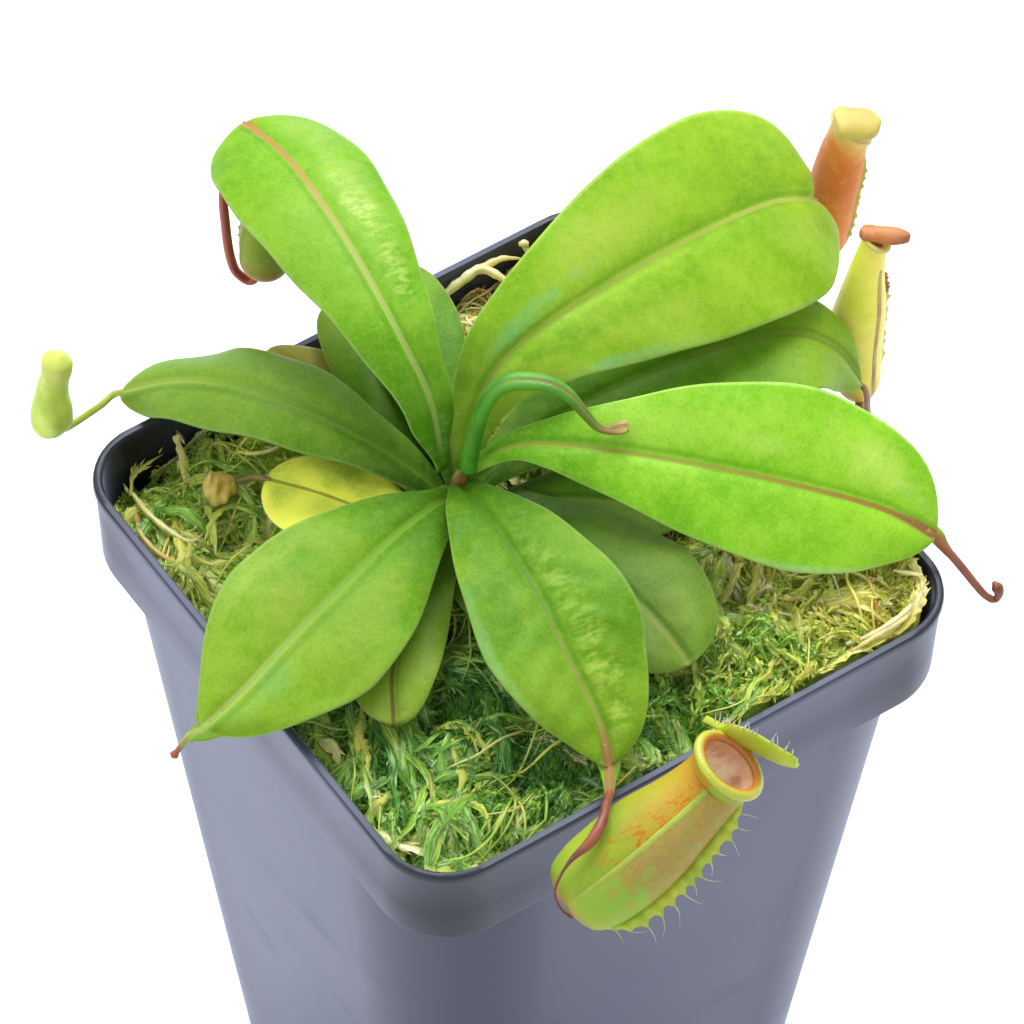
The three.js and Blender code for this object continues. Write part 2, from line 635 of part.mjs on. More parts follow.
// The lid is an oval plate on a narrow neck. It springs from the back of the lip.
function pitcherLid(shape, curve, front) {
  const tangent = curve.getTangentAt(1);
  const { side: forward } = crossFrame(tangent, 0, front);
  const end = shape.outline[shape.outline.length - 1][1];
  const hinge = curve.getPointAt(1).addScaledVector(forward, -end).addScaledVector(tangent, shape.slant * end);
  hinge.add(new THREE.Vector3(...(shape.lid.offset ?? [0, 0, 0])));
  const along = new THREE.Vector3(...shape.lid.along).normalize();
  const across = new THREE.Vector3(...shape.lid.across);
  across.addScaledVector(along, -across.dot(along)).normalize();
  const thick = new THREE.Vector3().crossVectors(along, across);
  const rings = [];
  for (const s of [0, 0.14, 0.3, 0.45, 0.6, 0.75, 0.88, 1]) {
    const half = s < 0.2 ? 1.1 : Math.max(0.5, shape.lid.half * Math.sqrt(1 - ((s - 0.58) / 0.44) ** 2));
    const centre = hinge.clone().addScaledVector(along, shape.lid.reach * s);
    const corner = (w, h) => centre.clone().addScaledVector(across, w * half).addScaledVector(thick, h);
    rings.push([corner(-1, 0.35), corner(-1, -0.35), corner(0, -0.1), corner(1, -0.35), corner(1, 0.35),
      corner(0, 0.6)]);
  }
  return loft(rings);
}

// A tendril starts just past its leaf's tip and ends inside what it carries.
function tendrilTube(shape) {
  const straight = 1.5;
  const start = [tendrilGap, straight].map((distance) => pastTip(shape.leaf, distance));
  const points = [...start, ...shape.tendril.map((p) => overRim(...p))];
  return tube(points, shape.tendrilRadius);
}

function makePitcher(name) {
  const shape = pitchers[name];
  const curve = spline(shape.axis.map((p) => overRim(...p)));
  const front = new THREE.Vector3(...shape.front);
  return fuse(
    pitcherCup(shape, curve, front),
    ...shape.wing.turns.map((turn) => pitcherWing(shape, curve, front, turn)),
    pitcherLid(shape, curve, front),
    tendrilTube(shape),
  );
}

// Two small pitchers are solid: one whose lid hasn't opened yet, and one that has dried up.
const buds = {
  pitcher_young: {
    leaf: 'leaf_left',
    axis: [[-41.7, 52.4, -4.4], [-41.6, 52.8, -1], [-41, 53.2, 3], [-40.2, 53.4, 7], [-39.6, 53.4, 10.4]],
    outline: [[0, 1.4], [0.12, 2.6], [0.3, 2.9], [0.5, 2.4], [0.68, 1.9], [0.82, 2.2], [0.94, 2], [1, 1]],
    front: [0.8, -0.6, 0],
    tendril: [[-35.3, 51, -2.4], [-37, 51.4, -3.2], [-38.8, 51.7, -4], [-40.6, 52.1, -4.2],
      [-42, 52.4, -3]],
    tendrilRadius: 0.45,
    material: { color: 0x9fc25a, roughness: 0.45, metalness: 0 },
  },
  pitcher_dried: {
    leaf: 'leaf_yellow',
    axis: [[-26.2, 29.6, -2], [-27.4, 30.2, -2.4], [-28.6, 30.8, -2.8], [-30.4, 31.7, -3]],
    outline: [[0, 1], [0.3, 2.1], [0.6, 2.3], [0.85, 1.7], [1, 0.9]],
    front: [0, 0, 1],
    tendril: [[-25.6, 29.4, -1.9], [-27, 30, -2.2]],
    tendrilRadius: 0.5,
    material: { color: 0x9a8434, roughness: 0.7, metalness: 0 },
  },
};

function makeBud(name) {
  const shape = buds[name];
  const curve = spline(shape.axis.map((p) => overRim(...p)));
  const front = new THREE.Vector3(...shape.front);
  const rings = [];
  for (let i = 0; i <= 10; i += 1) {
    rings.push(pitcherRing(curve, i / 10, outlineAt(shape.outline, i / 10), front, 0, 0, 8));
  }
  return fuse(loft(rings), tendrilTube(shape));
}

// Assembly

const plant = new THREE.Group();

function addPart(name, geometry, finish) {
  const mesh = new THREE.Mesh(geometry, new THREE.MeshStandardMaterial(finish));
  mesh.name = name;
  plant.add(mesh);
}

addPart('pot', makePot(), { color: 0x2b2a33, roughness: 0.4, metalness: 0 });
addPart('moss', makeMoss(), { color: 0x7f9a3a, roughness: 0.95, metalness: 0 });
addPart('stem', makeStem(), { color: 0x7a5a34, roughness: 0.7, metalness: 0 });
for (const name of Object.keys(leaves)) {
  addPart(name, makeLeaf(name), leaves[name].material);
}
addPart('leaf_new', makeNewLeaf(), { color: 0x5f9f30, roughness: 0.45, metalness: 0 });
for (const name of Object.keys(pitchers)) {
  addPart(name, makePitcher(name), pitchers[name].material);
}
for (const name of Object.keys(buds)) {
  addPart(name, makeBud(name), buds[name].material);
}

export default plant;
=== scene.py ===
import math

import bpy
import numpy as np
from mathutils import Matrix, Vector, noise


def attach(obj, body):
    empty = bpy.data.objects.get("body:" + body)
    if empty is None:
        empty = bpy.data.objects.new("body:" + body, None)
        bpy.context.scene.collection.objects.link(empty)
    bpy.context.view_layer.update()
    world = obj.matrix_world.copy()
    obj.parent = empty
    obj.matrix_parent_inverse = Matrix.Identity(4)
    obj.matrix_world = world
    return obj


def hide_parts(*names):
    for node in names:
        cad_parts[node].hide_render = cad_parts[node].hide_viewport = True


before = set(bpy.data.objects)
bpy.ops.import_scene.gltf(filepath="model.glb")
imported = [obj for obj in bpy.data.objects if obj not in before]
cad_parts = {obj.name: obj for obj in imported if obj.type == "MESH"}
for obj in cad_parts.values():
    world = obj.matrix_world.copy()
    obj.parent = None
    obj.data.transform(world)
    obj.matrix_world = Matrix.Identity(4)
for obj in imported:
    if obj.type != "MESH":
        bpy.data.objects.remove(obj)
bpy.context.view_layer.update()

mm = 0.001
rimHeight = 127.0
up = np.array([0.0, 0.0, 1.0])


# curves and skins

def overRim(points):
    return np.array(points, float) + (0, 0, rimHeight)


def unit(v):
    return v / np.maximum(np.linalg.norm(v, axis=-1, keepdims=True), 1e-9)


def smooth(x, low, high):
    # runs from 0 at low to 1 at high, whichever is larger
    t = np.clip((np.asarray(x, float) - low) / (high - low), 0, 1)
    return t * t * (3 - 2 * t)


def lengths(points):
    # how far along its line each point lies
    return np.r_[0, np.cumsum(np.linalg.norm(np.diff(points, axis=0), axis=1))]


def turns(count):
    return np.linspace(0, 2 * np.pi, count, endpoint=False)


def stacked(*parts):
    return np.stack(np.broadcast_arrays(*parts), -1)


def spread(centre, side, normal, out, rise):
    # a row of points beside each point of a path: out along its side, rise along its normal
    return centre[:, None] + side[:, None] * out[..., None] + normal[:, None] * rise[..., None]


def rounded(x):
    # rises from 0 to 1 like a quarter of a circle
    return np.sqrt(1 - (1 - np.clip(x, 0, 1)) ** 2)


class Path:
    # a smooth path through points: s runs from 0 to 1 by length
    def __init__(self, points):
        p = np.array(points, float)
        p = np.vstack([2 * p[0] - p[1], p, 2 * p[-1] - p[-2]])
        t = np.linspace(0, 1, 40, endpoint=False)[:, None]
        line = []
        for a, b, c, d in zip(p, p[1:], p[2:], p[3:]):
            d0, d1, d2 = [max(np.linalg.norm(v), 1e-4) ** 0.5 for v in (b - a, c - b, d - c)]
            t1 = ((b - a) / d0 - (c - a) / (d0 + d1) + (c - b) / d1) * d1
            t2 = ((c - b) / d1 - (d - b) / (d1 + d2) + (d - c) / d2) * d1
            line.append(b + t1 * t + (3 * (c - b) - 2 * t1 - t2) * t ** 2 + (2 * (b - c) + t1 + t2) * t ** 3)
        self.line = np.vstack(line + [p[-2:-1]])
        self.reach = lengths(self.line)
        self.length = self.reach[-1]

    def at(self, s):
        r = np.asarray(s, float) * self.length
        return np.stack([np.interp(r, self.reach, self.line[:, k]) for k in range(3)], -1)

    def along(self, s):
        step = 0.004
        return unit(self.at(np.clip(s + step, 0, 1)) - self.at(np.clip(s - step, 0, 1)))


def crossFrame(tangent, bank=0, level=None):
    # side and normal of a path: level, or near a given direction, and turned by bank degrees
    side = np.cross(up, tangent) if level is None else np.broadcast_to(np.array(level, float), tangent.shape)
    side = unit(side - tangent * np.sum(side * tangent, -1, keepdims=True))
    normal = np.cross(tangent, side)
    turn = np.radians(np.broadcast_to(bank, len(tangent)))[:, None]
    return side * np.cos(turn) + normal * np.sin(turn), normal * np.cos(turn) - side * np.sin(turn)


def makeMesh(name, points, faces, uv=None):
    mesh = bpy.data.meshes.new(name)
    mesh.from_pydata((np.asarray(points) * mm).tolist(), [], faces)
    if uv is not None:
        mesh.uv_layers.new(name="span").data.foreach_set("uv", np.asarray(uv, np.float32).ravel())
    mesh.polygons.foreach_set("use_smooth", [True] * len(mesh.polygons))
    mesh.update()
    piece = bpy.data.objects.new(name, mesh)
    bpy.context.scene.collection.objects.link(piece)
    return piece


class Skin:
    # gathers surfaces into one mesh. Its uv keeps place round or tone and place along, lay keeps sizes in mm
    def __init__(self):
        self.points, self.lays, self.faces, self.uv, self.count = [], [], [], [], 0

    def put(self, points, lay):
        self.points.append(points.reshape(-1, 3))
        self.lays.append(lay.reshape(-1, 3))
        base = self.count
        self.count += len(self.points[-1])
        return base

    def fill(self, faces, across, along):
        self.faces += faces.tolist()
        self.uv += stacked(across, along).reshape(-1, 2).tolist()

    def loft(self, rings, across, along, caps="fan", lay=None, closed=True):
        rows, cols = rings.shape[:2]
        across, along = np.asarray(across, float), np.asarray(along, float)
        lay = np.zeros(rings.shape) if lay is None else lay
        base = self.put(rings, lay)
        r, c = np.mgrid[:rows - 1, :cols if closed else cols - 1].reshape(2, -1, 1)
        r, c = r + [0, 0, 1, 1], c + [0, 1, 1, 0]
        self.fill(base + r * cols + c % cols, across[c], along[r])
        for r, turn in ((0, -1), (rows - 1, 1)):
            if caps == "strip":
                c = np.arange(cols // 2 - 1)[:, None]
                c = np.hstack([c, c + 1, cols - 2 - c, cols - 1 - c])[:, ::turn]
                self.fill(base + r * cols + c, across[c], along[r])
            elif caps == "fan":
                c = np.arange(cols)[:, None] + [0, 1][::turn]
                middle = np.full((cols, 1), self.put(rings[r].mean(0), lay[r].mean(0)))
                x = across[c]
                self.fill(np.hstack([base + r * cols + c % cols, middle]),
                          np.hstack([x, x.mean(1, keepdims=True)]), along[r])

    def blade(self, mid, normal, upper, lower, v, along, reach=0.0, edge=0.0):
        # a thin closed sheet: its upper and lower side stand off its middle, and v runs across it
        rings = np.concatenate([mid + normal * upper[..., None],
                               (mid + normal * lower[..., None])[:, ::-1]], 1)
        lay = np.broadcast_to(stacked(reach, edge, 0.0), mid.shape)
        x = (v + 1) / 2
        self.loft(rings, np.r_[x, 2 - x[::-1], 2], along, "strip",
                  np.concatenate([lay, lay[:, ::-1] + (0, 0, 1)], 1))

    def leaflets(self, root, along, out, size, wide, lean, tone, share):
        # small pointed leaves, one for each root: belly and tip lean away from the stem
        flat = unit(np.cross(along, out))
        tip = root + along * (size * 1.1)[:, None] + out * (size * lean)[:, None]
        belly = root + along * (size * 0.42)[:, None] + out * (size * lean * 0.75)[:, None]
        edge = flat * (size * wide)[:, None]
        points = np.stack([root, belly + edge, tip, belly - edge], 1)
        size, tone, share = size[:, None], tone[:, None], share[:, None]
        base = self.put(points, stacked(size * wide * [0, 1, 0, -1], size * [0, 0.4, 1.1, 0.4], tone * 90))
        corners = np.array([(0, 1, 2), (0, 2, 3)])
        faces = base + 4 * np.arange(len(root))[:, None, None] + corners
        self.fill(faces.reshape(-1, 3), np.repeat(tone, 6, 1), np.repeat(share, 6, 1))

    def tube(self, points, radius, sides, steps):
        path = Path(points)
        s = np.linspace(0, 1, steps)
        tangent = path.along(s)
        side = unit(np.cross(tangent, np.roll(unit(tangent.mean(0) + 1e-3), 1)))
        r, angle = radius(s)[:, None], turns(sides)
        rings = spread(path.at(s), side, np.cross(tangent, side), r * np.cos(angle), r * np.sin(angle))
        self.loft(rings, np.linspace(0, 1, sides + 1), s)

    def build(self, name):
        piece = makeMesh(name, np.vstack(self.points), self.faces, self.uv)
        lay = piece.data.attributes.new("lay", "FLOAT_VECTOR", "POINT")
        lay.data.foreach_set("vector", np.vstack(self.lays).astype(np.float32).ravel())
        return piece


def place(piece, node, finish):
    piece.data.materials.append(finish)
    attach(piece, "root")
    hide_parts(node)
    return piece


# finishes

def tint(code, own=0.74):
    # a colour seen in the light, as the linear colour of the surface itself
    parts = [int(code[k:k + 2], 16) / 255 for k in (0, 2, 4)]
    return tuple(own * (p / 12.92 if p <= 0.04045 else ((p + 0.055) / 1.055) ** 2.4) for p in parts)


class Wire:
    # a shader socket that can be used in sums
    def __init__(self, finish, socket):
        self.finish = finish
        self.socket = socket

    def math(self, operation, *values):
        return self.finish.node("Math", {"operation": operation}, dict(enumerate(values)))

    def __add__(self, other):
        return self.math("ADD", self, other)

    def __sub__(self, other):
        return self.math("SUBTRACT", self, other)

    def __rsub__(self, other):
        return self.math("SUBTRACT", other, self)

    def __mul__(self, other):
        return self.math("MULTIPLY", self, other)

    def __pow__(self, other):
        return self.math("POWER", self, other)

    def __abs__(self):
        return self.math("ABSOLUTE", self)

    __radd__ = __add__
    __rmul__ = __mul__


class Finish:
    # one procedural material; fixed values go straight onto the shader's own sockets
    def __init__(self, name, **fixed):
        self.material = bpy.data.materials.new(name)
        self.material.use_nodes = True
        self.tree = self.material.node_tree
        self.shader = self.tree.nodes["Principled BSDF"]
        for key, value in fixed.items():
            self.shader.inputs[key.replace("_", " ")].default_value = value

    def node(self, kind, settings=None, values=None, out=0):
        node = self.tree.nodes.new("ShaderNode" + kind)
        for key, value in (settings or {}).items():
            if key != "stops":
                setattr(node, key, value)
                continue
            marks = node.color_ramp.elements
            while len(marks) < len(value):
                marks.new(0.5)
            for mark, (spot, color) in zip(marks, value):
                mark.position = spot
                mark.color = (*color, 1)
        for key, value in (values or {}).items():
            entry = node.inputs[key]
            if isinstance(value, Wire):
                self.tree.links.new(value.socket, entry)
            else:
                value = tint(value) if isinstance(value, str) else value
                entry.default_value = (*value, 1) if entry.type == "RGBA" else value
        return Wire(self, node.outputs[out])

    def spot(self):
        return self.node("TexCoord", out=3)

    def lay(self):
        return self.node("Attribute", {"attribute_name": "lay"}, out=1)

    def parts(self, vector):
        return [self.node("SeparateXYZ", None, {0: vector}, k) for k in range(3)]

    def uv(self):
        return self.parts(self.node("UVMap", {"uv_map": "span"}))[:2]

    def grain(self, scale, detail=3.0, rough=0.5, vector=None, stretch=None):
        vector = vector or self.spot()
        if stretch:
            vector = self.node("Mapping", None, {"Vector": vector, "Scale": stretch})
        return self.node("TexNoise", None, {"Vector": vector, "Scale": scale,
                                            "Detail": detail, "Roughness": rough})

    def within(self, value, low, high, most=1.0, least=0.0):
        # eases from least at low to most at high
        return self.node("MapRange", {"interpolation_type": "SMOOTHSTEP"},
                         {"Value": value, "From Min": low, "From Max": high, "To Min": least, "To Max": most})

    def ramp(self, value, stops, own=0.74):
        return self.node("ValToRGB", {"stops": [(s, tint(c, own)) for s, c in stops]}, {"Fac": value})

    def layers(self, color, *coats):
        # lays coats over a colour, each with its share
        for share, coat in coats:
            color = self.node("Mix", {"data_type": "RGBA"}, {0: share, 6: color, 7: coat}, 2)
        return color

    def wear(self, color, rough=None, bump=None, depth=0.0003, strength=0.5, **more):
        if bump is not None:
            more["Normal"] = self.node("Bump", None, {"Height": bump, "Distance": depth,
                                                      "Strength": strength})
        for key, value in {"Base Color": color, "Roughness": rough, **more}.items():
            if value is not None:
                self.tree.links.new(value.socket, self.shader.inputs[key.replace("_", " ")])
        return self.material


# camera, light and floor

view = {"spot": (-354.9, -512.6, 924.2), "azimuth": -34.64, "elevation": 51.82, "roll": 0.911, "lens": 262.0}


def makeCamera():
    a, e, r = [math.radians(view[k]) for k in ("azimuth", "elevation", "roll")]
    back = Vector((math.sin(a) * math.cos(e), -math.cos(a) * math.cos(e), math.sin(e)))
    right = Vector((math.cos(a), math.sin(a), 0))
    over = back.cross(right)
    turn = Matrix((right * math.cos(r) + over * math.sin(r), over * math.cos(r) - right * math.sin(r), back))
    lens = bpy.data.cameras.new("camera")
    lens.lens = view["lens"]
    lens.sensor_width = 36
    lens.clip_end = 20
    camera = bpy.data.objects.new("camera", lens)
    camera.matrix_world = Matrix.Translation(Vector(view["spot"]) * mm) @ turn.transposed().to_4x4()
    bpy.context.scene.collection.objects.link(camera)
    bpy.context.scene.camera = camera


studio = {
    "floor": ("f2f5fc", "f8faff"), "floorHalf": 3000, "aim": (0, 0, 0.12),
    "world": ((0.96, 0.98, 1.0), 0.66),
    "lamps": [
        # name, place in metres, size, power, colour
        ("windowLamp", (0.46, 0.56, 1.0), 1.0, 19.0, (0.97, 0.985, 1.0)),
        ("sideLamp", (-0.8, 0.15, 0.7), 0.9, 3.5, (1.0, 0.98, 0.95)),
        ("frontLamp", (0.3, -0.8, 0.8), 0.8, 1.2, (1.0, 0.99, 0.97)),
    ],
}


def makeStudio():
    size = studio["floorHalf"]
    floor = makeMesh("floor", [(-size, -size, 0), (size, -size, 0), (size, size, 0), (-size, size, 0)],
                     [(0, 1, 2, 3)])
    f = Finish("floorPaper", Roughness=0.75)
    dim, bright = [tint(c, 1.0) for c in studio["floor"]]
    floor.data.materials.append(f.wear(f.layers(dim, (f.grain(6, 2), bright))))
    bpy.context.scene.view_settings.view_transform = "Standard"
    world = bpy.data.worlds.new("studio")
    bpy.context.scene.world = world
    world.use_nodes = True
    color, strength = studio["world"]
    sky = world.node_tree.nodes["Background"].inputs
    sky[0].default_value = (*color, 1)
    sky[1].default_value = strength
    for name, spot, size, power, color in studio["lamps"]:
        lamp = bpy.data.lights.new(name, "AREA")
        lamp.shape = "SQUARE"
        lamp.size = size
        lamp.energy = power
        lamp.color = color
        thing = bpy.data.objects.new(name, lamp)
        thing.location = spot
        thing.rotation_euler = (Vector(spot) - Vector(studio["aim"])).to_track_quat("Z", "Y").to_euler()
        bpy.context.scene.collection.objects.link(thing)


# pot

pot = {
    "height": 127, "rimHalf": 44.5, "rimCorner": 10, "collarHeight": 15, "collarHalf": 44,
    "collarCorner": 10.5, "bodyTopHalf": 43.4, "bodyTopCorner": 20, "baseHalf": 31, "baseCorner": 13,
    "wall": 1.4, "floor": 2, "lip": 0.7, "drainRadius": 4, "drainOffset": 17, "cornerSteps": 12,
    # of these colours the third is painted shade for the collar's corners and the fourth painted sheen for
    # the flat faces
    "black": "16151d", "haze": "23222b", "paintedCornerShade": "0b090c", "paintedSheen": "50536c", "dust": "5b5a6c",
}
ledge = pot["height"] - pot["collarHeight"]


def squareRing(half, corner, z, steps=pot["cornerSteps"]):
    # rounded square, anticlockwise from the +X side
    ring = []
    for k, (sx, sy) in enumerate(((1, 1), (-1, 1), (-1, -1), (1, -1))):
        a = np.radians(90 * k + np.linspace(0, 90, steps + 1))
        x, y = sx * (half - corner) + corner * np.cos(a), sy * (half - corner) + corner * np.sin(a)
        ring.append(stacked(x, y, float(z)))
    return np.vstack(ring)


def evenRing(half, corner, z, count, scale=1.0):
    ring = squareRing(half, corner, z, 14)
    loop = np.vstack([ring, ring[:1]])
    reach = lengths(loop)
    r = np.linspace(0, reach[-1], count, endpoint=False)
    return stacked(*[np.interp(r, reach, loop[:, k]) * scale for k in range(2)], float(z))


def potBody(z):
    # half width and corner radius of the tapered body
    return [pot["base" + key] + (pot["bodyTop" + key] - pot["base" + key]) * z / ledge
            for key in ("Half", "Corner")]


def makePot():
    h, lip, wall = pot["height"], pot["lip"], pot["wall"]
    base, baseCorner = potBody(0)
    low, lowCorner = potBody(pot["floor"])
    body, bodyCorner = potBody(ledge)
    collar, collarCorner = pot["collarHalf"], pot["collarCorner"]
    rim, corner = pot["rimHalf"], pot["rimCorner"]
    rows = [(base - lip, baseCorner - lip, 0), (base - 0.2, baseCorner - 0.2, 0.15), (base, baseCorner, lip)]
    rows += [(*potBody(ledge * t), ledge * t) for t in (0.2, 0.4, 0.6, 0.8)]
    rows += [(body, bodyCorner, ledge - 0.1), (collar - lip / 2, collarCorner, ledge),
             (collar - 0.1, collarCorner, ledge + 0.18), (collar, collarCorner, ledge + lip),
             (collar + 0.15, collarCorner, ledge + 6), (rim - 0.25, corner, h - 2.2 * lip),
             (rim, corner, h - 1.2 * lip), (rim - 0.08, corner, h - 0.35 * lip), (rim - 0.35, corner, h),
             (rim - wall + 0.3, corner - wall, h), (rim - wall, corner - wall, h - 0.35),
             (collar - wall, collarCorner - wall, ledge + 2 * lip),
             (body - wall, bodyCorner - wall, ledge - lip), (low - wall, lowCorner - wall, pot["floor"])]
    rings = np.array([squareRing(*row) for row in rows])
    shell = Skin()
    shell.loft(rings, np.linspace(0, 4, rings.shape[1] + 1), rings[:, 0, 2] / h)
    piece = shell.build("potShell")
    cutters = []
    angle = turns(28)
    for sx, sy in ((-1, -1), (-1, 1), (1, -1), (1, 1)):
        low = stacked(sx * pot["drainOffset"] + pot["drainRadius"] * np.cos(angle),
                      sy * pot["drainOffset"] + pot["drainRadius"] * np.sin(angle), -1.0)
        drill = Skin()
        drill.loft(np.array([low, low + (0, 0, 4)]), np.zeros(29), [0, 1])
        cutters.append(drill.build("drill"))
        cut = piece.modifiers.new("drain", "BOOLEAN")
        cut.object = cutters[-1]
        cut.solver = "EXACT"
    drilled = bpy.data.meshes.new_from_object(piece.evaluated_get(bpy.context.evaluated_depsgraph_get()))
    piece.modifiers.clear()
    piece.data = drilled
    for cutter in cutters:
        bpy.data.objects.remove(cutter)
    drilled.polygons.foreach_set("use_smooth", [True] * len(drilled.polygons))
    drilled.set_sharp_from_angle(angle=math.radians(40))
    place(piece, "pot", potFinish())


def potFinish():
    f = Finish("blackPlastic", IOR=1.5, Specular_IOR_Level=0.5, Specular_Tint=(0.78, 0.85, 1.0, 1),
               Sheen_Weight=0.44, Sheen_Roughness=0.34, Sheen_Tint=(0.64, 0.68, 1.0, 1))
    haze, fine = f.grain(60, 4, 0.6), f.grain(2600, 2, 0.5)
    scuff = f.within(f.grain(24, 5, 0.65, stretch=(1, 1, 4)), 0.56, 0.74)
    x, y, height = f.parts(f.spot())
    rub = f.within(height, 0.1255, 0.127)
    collar = f.within(height, ledge * mm - 0.0004, ledge * mm)
    # painted sheen: the flat faces and the body under the collar get a lighter bluish grey that stands in for
    # the sheen they reflect
    flat = f.within(abs(abs(x) - abs(y)), 0.008, 0.024)
    paintedSheen = flat.math("MAXIMUM", flat, (1 - collar) * 0.6)
    # painted shade darkens the collar's corners, where the flat faces' painted sheen is missing
    color = f.layers(pot["black"], (haze * 0.5, pot["haze"]), ((1 - flat) * collar * 0.7, pot["paintedCornerShade"]),
                     (paintedSheen * (haze * 0.4 + 0.5), pot["paintedSheen"]), (scuff * 0.25 + rub * 0.15, pot["dust"]))
    return f.wear(color, 0.34 + haze * 0.12 + scuff * 0.12, haze * 0.3 + fine * 0.7, 0.00004, 0.35)


# moss

moss = {
    "clearance": 0.4, "middle": -3.5, "tilt": 5.5, "crown": 0.6, "lump": 1, "bedSides": 220, "bedRows": 54,
    "stars": 8600, "rays": 9, "wallDrop": 1.3,
    # heights, fineness and places of the bed's roughness
    "fuzz": [(1.2, 0.2, 3.1), (0.9, 0.5, 7.7), (0.6, 1.3, 1.3)],
    # x, y, radius and count of its fine tufts
    "tufts": [(-17.3, -36.4, 5, 1800), (-12.5, -38.4, 3, 600), (-23, -19, 3.5, 600)],
    # from deep green over lime and yellow to straw, and dead brown at the end
    "tones": [(0, "17450f"), (0.16, "3a8020"), (0.34, "7cb038"), (0.5, "b4c448"), (0.66, "d6cc54"),
        (0.82, "ded69c"), (0.93, "c8a55c"), (1, "9a5426")],
    # x, y and tone of its patches
    "patches": [(-33, -33, 0.34), (-22, -14, 0.16), (-17, -24, 0.16), (-38, -14, 0.28), (-30, -24, 0.27),
        (-17, -36, 0.1), (-10, -34, 0.36), (3, -32, 0.27), (10, -27, 0.34), (14, -40, 0.38), (20, -30, 0.44),
        (25, -25, 0.52), (33, -32, 0.56), (40, -38, 0.62), (38, -20, 0.56), (42, 0, 0.58), (30, 10, 0.56),
        (-34, 35, 0.44), (-25, 33, 0.42), (-38, 20, 0.4), (-22, 20, 0.4), (-10, 44, 0.56), (10, 38, 0.7),
        (25, 40, 0.74), (40, 30, 0.62), (0, 0, 0.36)],
    # x, y, radius and depth of its dark holes, and of the rise in the far corner
    "hollows": [(-33.6, 41.2, 3, 4), (35.8, -38.6, 2.2, 3), (-24.5, -18, 2, 2), (-31, -31, 1.6, 1.6),
        (20, -24.5, 1.6, 2), (-30, 24, 3, 2.4), (24, 40.5, 3, 2)],
    "mound": (-38, 38, 13, -2.6),
}


def groundAt(x, y):
    slope = (x - y) / (2 * pot["rimHalf"])
    reach = np.minimum(1, np.hypot(x, y) / pot["rimHalf"])
    lumps = (np.sin(0.41 * x + 1.3) * np.cos(0.37 * y - 0.4) + 0.7 * np.sin(0.23 * (x + 2.1 * y))
             + 0.5 * np.sin(0.73 * x - 0.61 * y))
    z = (rimHeight + moss["middle"] + moss["tilt"] * slope + moss["crown"] * (1 - reach * reach)
         + moss["lump"] * lumps)
    # it falls off near the pot's wall
    z = z - moss["wallDrop"] * smooth((np.abs(x) ** 6 + np.abs(y) ** 6) ** (1 / 6), 39.5, 44)
    for hx, hy, radius, depth in moss["hollows"] + [moss["mound"]]:
        z = z - depth * np.exp(-((x - hx) ** 2 + (y - hy) ** 2) / radius ** 2)
    return z


def toneAt(x, y):
    px, py, tone = np.array(moss["patches"]).T
    x, y = np.asarray(x)[..., None], np.asarray(y)[..., None]
    weight = 1 / ((x - px) ** 2 + (y - py) ** 2 + 12) ** 1.4
    return (weight * tone).sum(-1) / weight.sum(-1)


def keepInside(x, y, margin):
    # draws points back to the pot's inner wall
    half = pot["collarHalf"] - pot["wall"] - margin
    corner = pot["collarCorner"] - pot["wall"] - min(margin, 6)
    x, y = np.clip(x, -half, half), np.clip(y, -half, half)
    cx, cy = np.abs(x) - (half - corner), np.abs(y) - (half - corner)
    far = np.hypot(np.maximum(cx, 0), np.maximum(cy, 0))
    over = (cx > 0) & (cy > 0) & (far > corner)
    pull = np.where(over, corner / np.maximum(far, 1e-6), 1)
    return [np.where(over, np.sign(p) * (half - corner + c * pull), p) for p, c in ((x, cx), (y, cy))]


def scatter(rng, count, margin):
    x, y = rng.uniform(-43, 43, (2, count * 2))
    fitX, fitY = keepInside(x, y, margin)
    keep = (np.abs(fitX - x) + np.abs(fitY - y)) < 1e-6
    for hx, hy, radius, _ in moss["hollows"]:
        keep &= ((x - hx) ** 2 + (y - hy) ** 2 > (radius * 0.7) ** 2)
    return x[keep][:count], y[keep][:count]


def makeMossBed():
    inset = pot["wall"] + moss["clearance"]
    count = moss["bedSides"]
    half, corner = pot["collarHalf"] - inset - 0.2, pot["collarCorner"] - inset
    rows = []
    for z in (pot["floor"] + moss["clearance"], ledge * 0.5, ledge - 0.4):
        h, c = potBody(z)
        rows.append(evenRing(h - inset, c - inset, z, count))
    rows.append(evenRing(half, corner, ledge + 2.4, count))
    for scale in np.linspace(1, 0.01, moss["bedRows"]):
        ring = evenRing(half, corner, 0, count, scale)
        fuzz = [sum(high * noise.noise(Vector((x * fine, y * fine, seed)))
                    for high, fine, seed in moss["fuzz"]) for x, y, _ in ring]
        ring[:, 2] = groundAt(ring[:, 0], ring[:, 1]) - 1.4 * smooth(scale, 0.94, 1.0) - 1.3 + fuzz
        rows.append(ring)
    rows = np.array(rows)
    tone = toneAt(rows[..., 0], rows[..., 1])
    bed = Skin()
    bed.loft(rows, np.linspace(0, 1, count + 1), np.linspace(0, 1, len(rows)), "fan",
             stacked(tone, tone, tone))
    f = Finish("mossBed", Roughness=0.85, Subsurface_Weight=0.2, Subsurface_Scale=0.001)
    big, small = f.grain(160, 4, 0.6), f.grain(900, 4, 0.7)
    color = f.ramp(f.parts(f.lay())[0] + (big - 0.5) * 0.5 + (small - 0.5) * 0.6, moss["tones"], 1.35)
    color = f.layers(color, (f.within(small * 0.6 + big * 0.4, 0.46, 0.34, 0.35), "4a6218"))
    place(bed.build("mossBed"), "moss", f.wear(color, None, small, 0.0008, 0.9))


